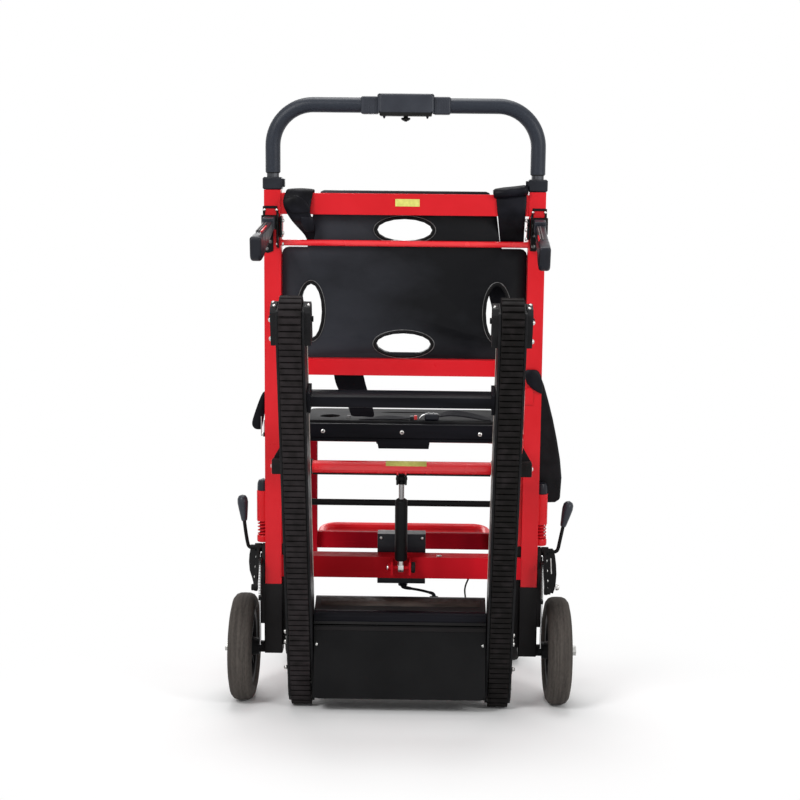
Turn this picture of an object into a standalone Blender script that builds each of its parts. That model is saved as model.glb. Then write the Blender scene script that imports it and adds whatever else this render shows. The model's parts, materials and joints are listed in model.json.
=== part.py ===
# Tracked stair climbing chair, seen from behind in its reference view.
# Metres. +X is to the right seen from behind, +Y is the way the sitter faces, +Z is up.
# The origin is on the floor, in the middle plane, under the rear wheels' axle.
import bmesh
import bpy
from math import atan2, cos, hypot, pi, radians, sin
from mathutils import Matrix, Vector

for old in list(bpy.data.objects):
    bpy.data.objects.remove(old, do_unlink=True)

# Clearances
GAP = 0.0003            # between faces that touch
BORE_GAP = 0.0003       # round a pin or shaft, on its radius
SLIDE_GAP = 0.0008      # round a piece that slides in a wider hole

# Main frame
LEAN = radians(6.0)     # the frame leans back
FRAME_Y = 0.010         # where the uprights' middle line meets the floor
FRAME_WIDTH = 0.504     # over both uprights
TUBE = 0.030            # square tube of the uprights
TUBE_WALL = 0.002
FRAME_EDGE = FRAME_WIDTH / 2
UPRIGHT_X = FRAME_EDGE - TUBE / 2
INNER_X = FRAME_EDGE - TUBE
UPRIGHT_BOTTOM = 0.096  # heights along the leaning frame
UPRIGHT_TOP = 0.952
CROSSBAR_DEPTH = 0.020
CROSSBAR_HEIGHT = 0.038
CROSSBAR_Y = -0.004
TOP_MARGIN = 0.005      # from the top crossbar's upper edge to the uprights' ends
TOP_CROSSBAR = UPRIGHT_TOP - TOP_MARGIN - CROSSBAR_HEIGHT   # lower edges
MIDDLE_CROSSBAR = 0.619
MIDDLE_HEIGHT = 0.030
LOWER_CROSSBAR = 0.241
LOWER_DEPTH = 0.035
LOWER_HEIGHT = 0.040
SLEEVE = 0.034
SLEEVE_BOTTOM = 0.0925
SLEEVE_TOP = 0.2262

# Wheels
WHEEL_RADIUS = 0.100
WHEEL_WIDTH = 0.045
WHEEL_X = FRAME_EDGE + 0.0413
WHEEL_STEPS = 28
RIM_RADIUS = 0.070
AXLE_RADIUS = 0.005
AXLE_END = WHEEL_X + 0.0357
WHEEL_BOSS = WHEEL_X - 0.0285   # inner face of the hub's boss
CASTER_STEPS = 22
CASTER_RADIUS = 0.0625
CASTER_WIDTH = 0.028
CASTER_X = 0.232
CASTER_TRAIL = 0.030

# Push handle
HANDLE_TUBE = 0.011     # radii
HANDLE_GRIP = 0.0135
HANDLE_RISE = 0.128     # from the collars' tops to the middle of the top bar
HANDLE_BEND = 0.0725
HANDLE_INSERT = 0.252   # length of the tube inside each upright
COLLAR = 0.0345
COLLAR_HEIGHT = 0.0225
COLLAR_TOP = UPRIGHT_TOP + COLLAR_HEIGHT
HANDLE_TOP = COLLAR_TOP + HANDLE_RISE
HANDLE_FOOT = UPRIGHT_TOP - HANDLE_INSERT
GRIP_END = COLLAR_TOP + 0.0085
BOX_HALF = 0.0505       # control box
BOX_LOW = HANDLE_TOP - 0.0185
BOX_HIGH = HANDLE_TOP + 0.0205
BOX_DEPTH = 0.045
CLAMP_END = 0.080
CLAMP_RADIUS = 0.0158

# Backrest and seat
PANEL_THICK = 0.016
PANEL_REAR = 0.0065
PANEL_TOP = TOP_CROSSBAR + 0.043
PANEL_SHOULDER = PANEL_TOP - 0.102
PANEL_BOTTOM = MIDDLE_CROSSBAR + MIDDLE_HEIGHT + GAP
OVAL_LONG = 0.0495
OVAL_SHORT = 0.0195
OVAL_RIM = 0.0040
PANEL_EDGE = 0.003
RIM_HIGH = 0.0012
SEAT_PIVOT = (0.005, 0.500)     # y and z of the seat's pivot
SEAT_REACH = 0.345              # from the seat's pivot to the front legs' pivot
SEAT_LENGTH = 0.400
SEAT_REAR = -0.011              # where the seat board starts, just in front of its rail
SEAT_HALF = 0.200
SIDE_TUBE = 0.020
SIDE_HEIGHT = 0.024
SIDE_X = INNER_X - 0.052
PIN = 0.005                     # radius of the hinge pins
BRACE_DROP = 0.1287             # from the seat's pivot down to the brace's pivot
BRACE_ROD = 0.006
BRACE_BAR = (INNER_X - 0.0155, INNER_X - 0.0095)    # inner and outer faces
LEG = 0.021
LEG_X = INNER_X - 0.027
LEG_LENGTH = 0.290
LEG_TOE = 0.020                 # of each leg, below the middle of its joint with the front bar
FRONT_BAR_HEIGHT = 0.035
FRONT_BAR_DEPTH = 0.020
FRONT_BAR_HALF = CASTER_X + 0.018
FOOT_TUBE = 0.0105
FOOT_HALF = LEG_X - 0.0155
FOOT_REACH = 0.075

# Tracks
TRACK_LEAN = radians(23.78)
DRIVE_AXLE = (-0.0375, 0.040)   # y and z
TRACK_CENTRES = 0.737           # from drive axle to idler
TRACK_X = INNER_X - 0.041
BELT_WIDTH = 0.037
BELT_INNER = 0.0285             # radii round the drive axle
BELT_ROOT = BELT_INNER + 0.0045
BELT_TIP = BELT_ROOT + 0.0050
LUGS = 152
GROOVE = 0.25                   # share of a lug's pitch
SHAFT = 0.008
BEAM_HALF = BELT_INNER - 0.0003
BEAM_SIDE = BELT_WIDTH / 2 + 0.0015
PLATE = (BELT_WIDTH / 2 + 0.0007, BELT_WIDTH / 2 + 0.0050)     # faces from the belt's middle
TENSIONER_FACE = PLATE[1] + 0.0095
UPPER_BAR = TRACK_CENTRES - 0.145   # distance from the drive axle
UPPER_BAR_SIZE = (0.032, 0.020)
BAR_WALL = 0.0035
BEAM_WALL = 0.0035
PUSH_BAR = (-0.100, 0.450)
PUSH_RADIUS = 0.0115
PUSH_HALF = TRACK_X + 0.040
LINK_TOP = (-0.215, 0.505)

# Gas spring between the lower crossbar and the push bar
GAS_FOOT = (-0.060, 0.262)
GAS_HEAD = (-0.100, 0.430)
GAS_RADIUS = 0.0115
GAS_ROD = 0.005
GAS_BODY = (0.016, 0.134)       # ends of the cylinder, along the spring
GAS_EYE = 0.008
GAS_PLAY = 0.0024               # round the upper pin, where the linkage is opened
GAS_HEAD_EYE = 0.0058
GAS_WASHER = 0.0062

# Drive box between the tracks
CASE_HALF = TRACK_X - PLATE[1] - 0.0015
CASE_REAR = -0.098
CASE_FRONT = 0.042
CASE_LOW = 0.027
CASE_HIGH = 0.1637
CASE_WALL = 0.003
LID_RIDGE = CASE_HIGH + 0.0413

CABLE_IN = (0.062, CASE_FRONT - 0.026)      # x and y of the lid's gland
CABLE_IN_Z = CASE_HIGH + 0.0323
CABLE = 0.0025
UNIT_LOW = LOWER_CROSSBAR - 0.020           # the control unit on the lower crossbar
UNIT_HIGH = UNIT_LOW + 0.095
UNIT_HALF = 0.045
UNIT_DEPTH = 0.032
GLAND = (0.003, LOWER_DEPTH / 2 + UNIT_DEPTH / 2, UNIT_LOW - 0.008)     # lower end, in the leaning frame

# Controls and small pieces
PULL_ROD = 0.0055
PULL_ROD_AT = TOP_CROSSBAR - 0.051
PULL_TRAVEL = 0.012
LIFT_X = UPRIGHT_X + 0.003
LIFT_PIVOT = (-0.0318, UPRIGHT_TOP - 0.0588)    # behind the frame's middle, and along it
LIFT_PLATE = 0.003
LIFT_LENGTH = 0.178
LIFT_DROP = {"left": radians(13.4), "right": radians(17.6)}    # below level, as they rest
LIFT_WIDTH = 0.019
BRAKE_PIVOT = (0.0, 0.287)
BRAKE_ARM = 0.0822
BRAKE_REST = radians(34.9)
BRAKE_HUB = 0.0080
BRAKE_BOSS = 0.0085     # round the pivot, on the sleeve's plate
PLUNGER_X = FRAME_EDGE + 0.0076
PLUNGER_Y = TUBE / 2 + 0.013            # in front of the uprights
PLUNGER_TUBE = (0.0125, 0.337, 0.395)   # radius, lower end, upper end
PLUNGER_FOOT = (0.0122, PLUNGER_TUBE[1] - 0.040, PLUNGER_TUBE[1] - 0.0275)
PLUNGER_CAP = (0.0115, PLUNGER_TUBE[2] + GAP, PLUNGER_TUBE[2] + 0.023)
PLUNGER_ROD = 0.005
SPRING_WIRE = 0.0012
SPRING_RADIUS = 0.0100
SPRING_CURLS = 4.5
HOOK_PLATE = 0.0025
STRAP_TOP = 0.620
STRAP_THICK = 0.012
STRAP_SLOPE = radians(7.0)      # of the side strap, forward of the frame

FRAME = Matrix.Translation((0, FRAME_Y, 0)) @ Matrix.Rotation(LEAN, 4, "X")
TRACK = Matrix.Translation((0, *DRIVE_AXLE)) @ Matrix.Rotation(TRACK_LEAN, 4, "X")
SEAT = Matrix.Translation((0, *SEAT_PIVOT))
WORLD = Matrix.Identity(4)
SIDES = (("left", -1), ("right", 1))


def material(name, colour, roughness, metallic=0.0):
    made = bpy.data.materials.new(name)
    made.use_nodes = True
    shader = made.node_tree.nodes["Principled BSDF"]
    shader.inputs["Base Color"].default_value = (*colour, 1)
    shader.inputs["Roughness"].default_value = roughness
    shader.inputs["Metallic"].default_value = metallic
    return made


RED = ("red paint", (0.62, 0.015, 0.020), 0.35)
BLACK = ("black steel", (0.015, 0.016, 0.019), 0.45)
PLASTIC = ("black plastic", (0.020, 0.021, 0.026), 0.50)
FOAM = ("black foam", (0.018, 0.018, 0.020), 0.80)
RUBBER = ("black rubber", (0.016, 0.015, 0.015), 0.75)
TYRE = ("grey tyre", (0.075, 0.065, 0.055), 0.85)
STEEL = ("bright steel", (0.62, 0.61, 0.59), 0.28, 1.0)
WEBBING = ("black webbing", (0.012, 0.012, 0.014), 0.90)
BUTTON = ("red plastic", (0.60, 0.02, 0.02), 0.40)


def pivot(name, place, base=WORLD):
    """An empty on a joint's axis, for the pieces that turn or slide with it."""
    empty = bpy.data.objects.new(name, None)
    bpy.context.scene.collection.objects.link(empty)
    empty.matrix_world = base @ Matrix.Translation(place)
    return empty


def piece(name, mesh, look, base=WORLD, body=None, smooth=None):
    """Puts a bmesh into the scene as one named object on its body's empty."""
    bmesh.ops.recalc_face_normals(mesh, faces=mesh.faces)
    data = bpy.data.meshes.new(name)
    mesh.to_mesh(data)
    mesh.free()
    made = bpy.data.objects.new(name, data)
    bpy.context.scene.collection.objects.link(made)
    finish(made, name, look, base, body)
    if smooth:
        data.shade_smooth()
        data.set_sharp_from_angle(angle=radians(smooth))
    return made


def finish(made, name, look, base, body):
    made.data.materials.append(material(name + " " + look[0], *look[1:]))
    made.matrix_world = base
    if body:
        bpy.context.view_layer.update()
        made.parent = body
        made.matrix_parent_inverse = body.matrix_world.inverted()


def cutter(mesh, base=WORLD):
    """A hidden shape that a Boolean cuts away or adds."""
    made = piece("tool", mesh, BLACK, base)
    made.hide_render = True
    made.display_type = "WIRE"
    return made


def combine(target, operation, mesh, base):
    change = target.modifiers.new(operation.lower(), "BOOLEAN")
    change.operation = operation
    change.solver = "EXACT"
    change.object = cutter(mesh, base)


def cut(target, mesh, base=WORLD):
    combine(target, "DIFFERENCE", mesh, base)


def join(target, mesh, base=WORLD):
    combine(target, "UNION", mesh, base)


def box(low, high, bevel=0.0, segments=1):
    """A box from its lowest to its highest corner, with its edges rounded by bevel."""
    mesh = bmesh.new()
    bmesh.ops.create_cube(mesh, size=1.0)
    size = [b - a for a, b in zip(low, high)]
    middle = [(a + b) / 2 for a, b in zip(low, high)]
    bmesh.ops.scale(mesh, vec=size, verts=mesh.verts)
    bmesh.ops.translate(mesh, vec=middle, verts=mesh.verts)
    if bevel:
        bmesh.ops.bevel(mesh, geom=mesh.edges[:], offset=bevel, segments=segments, affect="EDGES",
                        profile=0.5)
    return mesh


def sided(low, high, side, bevel=0.0):
    """A box on the left or the right; its x runs outwards from the middle plane."""
    across = sorted((side * low[0], side * high[0]))
    return box((across[0], *low[1:]), (across[1], *high[1:]), bevel)


def rod(radius, start, end, steps=12, end_radius=None):
    """A round bar between two points, which may taper to another radius."""
    start, end = Vector(start), Vector(end)
    along = end - start
    far = radius if end_radius is None else end_radius
    mesh = bmesh.new()
    bmesh.ops.create_cone(mesh, cap_ends=True, segments=steps, radius1=radius, radius2=far,
                          depth=along.length)
    turn = Vector((0, 0, 1)).rotation_difference(along).to_matrix().to_4x4()
    bmesh.ops.transform(mesh, matrix=Matrix.Translation((start + end) / 2) @ turn, verts=mesh.verts)
    return mesh


def slab(outline, low, high, axis="X", bevel=0.0):
    """An outline pushed along an axis. For X its points are (y, z), for Y (x, z), for Z (x, y)."""
    spots = {"X": lambda a, b: (low, a, b), "Y": lambda a, b: (a, low, b), "Z": lambda a, b: (a, b, low)}
    push = {"X": (1, 0, 0), "Y": (0, 1, 0), "Z": (0, 0, 1)}[axis]
    mesh = bmesh.new()
    face = mesh.faces.new([mesh.verts.new(spots[axis](a, b)) for a, b in outline])
    moved = bmesh.ops.extrude_face_region(mesh, geom=[face])["geom"]
    shift = Vector(push) * (high - low)
    bmesh.ops.translate(mesh, vec=shift, verts=[v for v in moved if isinstance(v, bmesh.types.BMVert)])
    bmesh.ops.recalc_face_normals(mesh, faces=mesh.faces)
    if bevel:
        rims = [e for e in mesh.edges if abs(e.calc_face_angle(0)) > 0.9]
        bmesh.ops.bevel(mesh, geom=rims, offset=bevel, segments=2, affect="EDGES", profile=0.5)
    return mesh


def turned(profile, centre, steps=32):
    """A closed profile of (x, radius) points spun round the x axis through centre (x, y, z)."""
    mesh = bmesh.new()
    ring = [mesh.verts.new((centre[0] + x, centre[1], centre[2] + r)) for x, r in profile]
    face = mesh.faces.new(ring)
    bmesh.ops.spin(mesh, geom=[face], cent=centre, axis=(1, 0, 0), angle=2 * pi, steps=steps,
                   use_merge=True)
    bmesh.ops.remove_doubles(mesh, verts=mesh.verts, dist=1e-6)
    inside = [f for f in mesh.faces if len(f.verts) > 4]
    bmesh.ops.delete(mesh, geom=inside, context="FACES_ONLY")
    return mesh


def ellipse(middle, half_wide, half_high, steps=16):
    turns = [2 * pi * i / steps for i in range(steps)]
    return [(middle[0] + half_wide * cos(turn), middle[1] + half_high * sin(turn)) for turn in turns]


def arc(middle, radius, start, end, steps):
    """Points on an arc, from the angle start to the angle end, in degrees."""
    angles = [radians(start + (end - start) * i / steps) for i in range(steps + 1)]
    return [(middle[0] + radius * cos(a), middle[1] + radius * sin(a)) for a in angles]


def stadium(low, high, radius, steps=4):
    """The outline round two points, one radius away."""
    turn = atan2(high[1] - low[1], high[0] - low[0]) * 180 / pi
    return arc(high, radius, turn - 90, turn + 90, steps) + arc(low, radius, turn + 90, turn + 270, steps)


def tube_along(name, points, radius, look, base=WORLD, body=None, sides=2):
    """A round bar along a row of points, as a curve with closed ends."""
    data = bpy.data.curves.new(name, "CURVE")
    data.dimensions = "3D"
    data.bevel_depth = radius
    data.bevel_resolution = sides
    data.use_fill_caps = True
    line = data.splines.new("POLY")
    line.points.add(len(points) - 1)
    for spot, point in zip(line.points, points):
        spot.co = (*point, 1)
    made = bpy.data.objects.new(name, data)
    bpy.context.scene.collection.objects.link(made)
    finish(made, name, look, base, body)
    return made


def handle_path(foot):
    """The push handle's middle line, from one foot over the top to the other."""
    straight = HANDLE_TOP - HANDLE_BEND
    side = UPRIGHT_X - HANDLE_BEND
    left = arc((-side, straight), HANDLE_BEND, 180, 90, 5)
    right = arc((side, straight), HANDLE_BEND, 90, 0, 5)
    line = [(-UPRIGHT_X, foot)] + left + right + [(UPRIGHT_X, foot)]
    return [(x, 0, h) for x, h in line]


def frame_point(y, h):
    """World y and z of a point of the leaning frame."""
    place = FRAME @ Vector((0, y, h))
    return place.y, place.z


def in_frame(y, z):
    """The leaning frame's own y and height of a world point."""
    place = FRAME.inverted() @ Vector((0, y, z))
    return place.y, place.z


def seat_point(y, z):
    place = SEAT @ Vector((0, y, z))
    return place.y, place.z


SEAT_IN_FRAME = in_frame(*SEAT_PIVOT)
BRACE_IN_FRAME = (SEAT_IN_FRAME[0], SEAT_IN_FRAME[1] - BRACE_DROP)
BRACE_PIVOT = frame_point(*BRACE_IN_FRAME)
LEG_PIVOT = seat_point(SEAT_REACH, 0)
REACH = (LEG_PIVOT[0] - SEAT_PIVOT[0], LEG_PIVOT[1] - SEAT_PIVOT[1])
BRACE_END = (BRACE_PIVOT[0] + REACH[0], BRACE_PIVOT[1] + REACH[1])
LEG_FRAME = Matrix.Translation((0, *LEG_PIVOT)) @ Matrix.Rotation(LEAN, 4, "X")
LEG_JOINT = LEG_FRAME @ Vector((0, LEG / 2, LEG_TOE - LEG_LENGTH))
FRONT_BAR_REAR = LEG_JOINT.y - 0.001
FRONT_BAR_LOW = LEG_JOINT.z - 0.0026
FRONT_BAR_HIGH = FRONT_BAR_LOW + FRONT_BAR_HEIGHT
CASTER_Y = FRONT_BAR_REAR + 0.0083
FOOT_Y = FRONT_BAR_REAR + FRONT_BAR_DEPTH + FOOT_TUBE + 0.001
FOOT_Z = (FRONT_BAR_LOW + FRONT_BAR_HIGH) / 2
GAS_LEAN = atan2(GAS_FOOT[0] - GAS_HEAD[0], GAS_HEAD[1] - GAS_FOOT[1])
GAS_LENGTH = hypot(GAS_HEAD[0] - GAS_FOOT[0], GAS_HEAD[1] - GAS_FOOT[1])
GAS = Matrix.Translation((0, *GAS_FOOT)) @ Matrix.Rotation(GAS_LEAN, 4, "X")


# Main frame

def upright(name, side):
    half = TUBE / 2
    bore = half - TUBE_WALL
    x = side * UPRIGHT_X
    tube = box((x - half, -half, UPRIGHT_BOTTOM), (x + half, half, UPRIGHT_TOP))
    post = piece("upright_" + name, tube, RED, FRAME)
    ear = SEAT_IN_FRAME[0]
    reach = 0.014
    high = SEAT_IN_FRAME[1]
    low = BRACE_IN_FRAME[1]
    outline = [(0.0, low - reach), (ear, low - reach), (ear + reach, low), (ear + reach, high),
               (ear, high + reach), (0.0, high + reach)]
    inner = side * (INNER_X + TUBE_WALL / 2)
    face = side * (INNER_X - 0.0055)
    join(post, slab(outline, min(inner, face), max(inner, face)), FRAME)
    pivot_y, pivot_h = LIFT_PIVOT
    join(post, sided((INNER_X - LIFT_PLATE, -half - 0.014, pivot_h - 0.0252),
                     (INNER_X + 0.001, 0.004, pivot_h + 0.0118), side), FRAME)
    for edge in (-1, 1):
        ear_in = LIFT_X + edge * (LIFT_WIDTH / 2 + GAP)
        ear_out = ear_in + edge * LIFT_PLATE
        ear_low = (min(ear_in, ear_out), pivot_y - 0.0092, pivot_h - 0.0112)
        join(post, sided(ear_low, (max(ear_in, ear_out), -half + 0.001, pivot_h + 0.0118), side), FRAME)
    tube_x = side * PLUNGER_X
    radius, low, high = PLUNGER_TUBE
    join(post, rod(radius, (tube_x, PLUNGER_Y, low), (tube_x, PLUNGER_Y, high)), FRAME)
    join(post, sided((FRAME_EDGE - 0.009, half - 0.001, low + 0.008),
                     (PLUNGER_X - 0.004, PLUNGER_Y - 0.007, high - 0.008), side), FRAME)
    if name == "right":
        join(post, sided((UPRIGHT_X - 0.0095, half - 0.001, STRAP_TOP - 0.035),
                         (UPRIGHT_X + 0.0145, half + HOOK_PLATE, STRAP_TOP - 0.001), side), FRAME)
    cut(post, box((x - bore, -bore, UPRIGHT_BOTTOM - 0.01), (x + bore, bore, UPRIGHT_TOP + 0.01)), FRAME)
    ends = (tube_x, PLUNGER_Y, low - 0.01), (tube_x, PLUNGER_Y, high + 0.01)
    cut(post, rod(PLUNGER_ROD + BORE_GAP, *ends), FRAME)
    for hole, spot in ((PIN, SEAT_IN_FRAME), (BRACE_ROD, BRACE_IN_FRAME)):
        ends = (side * (INNER_X - 0.017), *spot), (side * (INNER_X + 0.010), *spot)
        cut(post, rod(hole + BORE_GAP, *ends), FRAME)
    pin_ends = (side * (LIFT_X - 0.02), *LIFT_PIVOT), (side * (LIFT_X + 0.02), *LIFT_PIVOT)
    cut(post, rod(0.004 + BORE_GAP, *pin_ends), FRAME)
    slot = PULL_ROD + BORE_GAP
    slot_top = PULL_ROD_AT + PULL_TRAVEL + slot
    cut(post, sided((INNER_X - LIFT_PLATE - 0.001, CROSSBAR_Y - slot, PULL_ROD_AT - slot),
                    (INNER_X + TUBE_WALL + 0.001, CROSSBAR_Y + slot, slot_top), side), FRAME)


def crossbar(name, low, depth, height, middle):
    """A flat tube between the uprights, open at both ends."""
    half = INNER_X - GAP
    rear, front = middle - depth / 2, middle + depth / 2
    bar = piece(name, box((-half, rear, low), (half, front, low + height)), RED, FRAME)
    wall, bore_end = TUBE_WALL, half + 0.01
    hollow = box((-bore_end, rear + wall, low + wall), (bore_end, front - wall, low + height - wall))
    cut(bar, hollow, FRAME)
    return bar


def gas_clevis(bar):
    """The two ears and the pin that carry the gas spring on the lower crossbar."""
    y, h = in_frame(*GAS_FOOT)
    rear = -LOWER_DEPTH / 2
    for side in (-1, 1):
        join(bar, sided((0.0145, y - 0.010, h - 0.012), (0.0185, rear + 0.001, h + 0.012), side), FRAME)
    join(bar, rod(0.004, (-0.0235, y, h), (0.0235, y, h)), FRAME)
    join(bar, rod(0.0075, (-0.0235, y, h), (-0.0180, y, h), 6), FRAME)


def sleeve(name, side):
    """The black foot of an upright, with the wheel's axle, the brake's plate and the drive box's arm."""
    half = SLEEVE / 2
    bore = TUBE / 2 + GAP
    x = side * UPRIGHT_X
    shell = box((x - half, -half, SLEEVE_BOTTOM), (x + half, half, SLEEVE_TOP), 0.0015)
    foot = piece("sleeve_" + name, shell, BLACK, FRAME)
    cut(foot, box((x - bore, -bore, UPRIGHT_BOTTOM - GAP), (x + bore, bore, SLEEVE_TOP + 0.01)), FRAME)
    outer = UPRIGHT_X + half
    axle = (0, WHEEL_RADIUS)
    join(foot, rod(0.011, (side * (outer - 0.0015), *axle), (side * (WHEEL_BOSS - 0.0006), *axle), 16))
    join(foot, rod(AXLE_RADIUS, (side * (WHEEL_BOSS - 0.005), *axle), (side * AXLE_END, *axle), 16))
    join(foot, rod(0.009, (side * (AXLE_END - 0.0065), *axle), (side * AXLE_END, *axle), 6))
    boss = in_frame(*BRAKE_PIVOT)
    plate = [(-0.016, 0.150), (0.016, 0.150)] + arc(boss, BRAKE_BOSS, -20, 110, 4) + [(-0.016, 0.262)]
    faces = sorted((side * (outer - 0.0010), side * (outer + 0.0065)))
    join(foot, slab(plate, *faces), FRAME)
    room = TUBE / 2 + 0.0016
    cut(foot, box((x - room, -0.02, SLEEVE_TOP), (x + room, 0.035, boss[1] + 0.02)), FRAME)
    cut(foot, rod(PIN + BORE_GAP, (side * (FRAME_EDGE - 0.004), *BRAKE_PIVOT),
                  (side * (FRAME_EDGE + 0.016), *BRAKE_PIVOT)))
    join(foot, sided((CASE_HALF + GAP, -0.004, 0.105), (UPRIGHT_X - half + 0.001, 0.008, 0.158), side))


def collar(name, side):
    half = COLLAR / 2
    x = side * UPRIGHT_X
    low, high = UPRIGHT_TOP + GAP, COLLAR_TOP
    shell = box((x - half, -half, low), (x + half, half, high), 0.0025)
    ring = piece("collar_" + name, shell, PLASTIC, FRAME)
    join(ring, sided((UPRIGHT_X - half - 0.004, -0.007, UPRIGHT_TOP + 0.005),
                     (UPRIGHT_X - half + 0.001, 0.007, COLLAR_TOP - 0.003), side), FRAME)
    ends = (x, 0, UPRIGHT_TOP - 0.01), (x, 0, COLLAR_TOP + 0.02)
    cut(ring, rod(HANDLE_TUBE + BORE_GAP, *ends, 20), FRAME)


def backrest():
    """A moulded panel between the uprights with four oval hand holes."""
    rear, front = PANEL_REAR, PANEL_REAR + PANEL_THICK
    wide = INNER_X - GAP
    bottom, shoulder = PANEL_BOTTOM, PANEL_SHOULDER
    right = ([(wide, bottom)] + arc((wide - 0.012, shoulder - 0.012), 0.012, 0, 90, 3) +
             [(INNER_X - 0.0455, shoulder), (INNER_X - 0.0490, shoulder + 0.005),
              (INNER_X - 0.0560, shoulder + 0.060)] +
             arc((INNER_X - 0.0760, PANEL_TOP - 0.008), 0.008, 0, 90, 2))
    outline = right + [(-x, h) for x, h in reversed(right)]
    mesh = slab(outline, rear, front, "Y")
    rims = [e for e in mesh.edges if e.calc_face_angle(0) > 0.9 and e.verts[0].co.y == e.verts[1].co.y]
    rims = [e for e in rims if max(v.co.z for v in e.verts) > bottom + 0.001]
    bmesh.ops.bevel(mesh, geom=rims, offset=PANEL_EDGE, segments=2, affect="EDGES", profile=0.5)
    panel = piece("backrest_panel", mesh, PLASTIC, FRAME, smooth=35)
    side_x, side_h = INNER_X - 0.053, PANEL_BOTTOM + 0.0842
    upper, lower = (0, PANEL_TOP - 0.070), (0, PANEL_BOTTOM + 0.0257)
    holes = ((upper, OVAL_LONG, OVAL_SHORT), (lower, OVAL_LONG, OVAL_SHORT),
             ((-side_x, side_h), OVAL_SHORT, OVAL_LONG), ((side_x, side_h), OVAL_SHORT, OVAL_LONG))
    for middle, wide, high in holes:
        rim = ellipse(middle, wide + OVAL_RIM, high + OVAL_RIM)
        join(panel, slab(rim, rear - RIM_HIGH, rear + 0.001, "Y"), FRAME)
    for middle, wide, high in holes:
        cut(panel, slab(ellipse(middle, wide, high), rear - 0.01, front + 0.01, "Y"), FRAME)


def shoulder_strap(name, side):
    """Webbing folded over an end of the top crossbar."""
    rear = CROSSBAR_Y - CROSSBAR_DEPTH / 2 - GAP
    front = CROSSBAR_Y + CROSSBAR_DEPTH / 2 + GAP
    top = TOP_CROSSBAR + CROSSBAR_HEIGHT + GAP
    low = TOP_CROSSBAR
    outline = [(0.0061, low - 0.056), (0.0061, low - 0.028), (rear, low - GAP), (rear, top), (front, top),
               (front, low + 0.006), (front + 0.004, low + 0.006), (front + 0.004, top + 0.003),
               (front + 0.002, top + 0.005), (rear - 0.002, top + 0.005), (rear - 0.0045, top + 0.002),
               (rear - 0.0045, low - 0.001), (0.0021, low - 0.030), (0.0021, low - 0.056)]
    inner, outer = sorted((side * (INNER_X - 0.042), side * (INNER_X - 0.0035)))
    piece("shoulder_strap_" + name, slab(outline, inner, outer), WEBBING, FRAME)


def side_strap():
    """The waist belt's padded wing, which hangs from the right upright's hook and slopes forward."""
    outline = [(0.006, -0.248), (0.047, -0.246), (0.0465, -0.200), (0.030, -0.130), (0.012, -0.060),
               (-0.006, -0.020), (-0.014, 0.000), (-0.0275, 0.000), (-0.0245, -0.060), (-0.012, -0.170)]
    hook = TUBE / 2 + HOOK_PLATE + GAP
    hook_at = FRAME @ Matrix.Translation((FRAME_EDGE, hook, STRAP_TOP))
    hang = hook_at @ Matrix.Rotation(STRAP_SLOPE, 4, "X")
    piece("side_strap", slab(outline, 0, STRAP_THICK, "Y"), WEBBING, hang)


# Push handle

def push_handle():
    body = pivot("push_handle", (0, 0, HANDLE_TOP), FRAME)
    piece("handle_tube", sweep(handle_path(HANDLE_FOOT), HANDLE_TUBE, 12), STEEL, FRAME, body, 60)
    grip = piece("handle_grip", sweep(handle_path(GRIP_END), HANDLE_GRIP, 12), FOAM, FRAME, body, 60)
    cut(grip, sweep(handle_path(GRIP_END - 0.010), HANDLE_TUBE + GAP, 12), FRAME)
    return body


def control_box(body):
    half = BOX_DEPTH / 2
    shell = box((-BOX_HALF, -half, BOX_LOW), (BOX_HALF, half, BOX_HIGH), 0.006, 2)
    case = piece("control_box", shell, PLASTIC, FRAME, body, 40)
    for side in (-1, 1):
        clamp_start = (side * (BOX_HALF - 0.0055), 0, HANDLE_TOP)
        join(case, rod(CLAMP_RADIUS, clamp_start, (side * CLAMP_END, 0, HANDLE_TOP), 16), FRAME)
    bore_end = CLAMP_END + 0.02
    ends = (-bore_end, 0, HANDLE_TOP), (bore_end, 0, HANDLE_TOP)
    cut(case, rod(HANDLE_GRIP + BORE_GAP, *ends, 16), FRAME)
    cut(case, box((-0.0088, -0.0065, BOX_LOW - 0.01), (0.0088, 0.0065, BOX_LOW + 0.0055)), FRAME)
    lever = pivot("switch_pivot", (0, 0, BOX_LOW + 0.001), FRAME)
    bpy.context.view_layer.update()
    lever.parent = body
    lever.matrix_parent_inverse = body.matrix_world.inverted()
    paddle = box((-0.008, -0.0025, BOX_LOW - 0.0115), (0.008, 0.0025, BOX_LOW + 0.003), 0.001)
    piece("power_switch", paddle, PLASTIC, FRAME, lever)


def pull_rod():
    half = INNER_X + TUBE_WALL - 0.0005
    body = pivot("pull_rod_guide", (0, CROSSBAR_Y, PULL_ROD_AT), FRAME)
    ends = (-half, CROSSBAR_Y, PULL_ROD_AT), (half, CROSSBAR_Y, PULL_ROD_AT)
    piece("pull_rod", rod(PULL_ROD, *ends, 12), RED, FRAME, body, 60)


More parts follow.
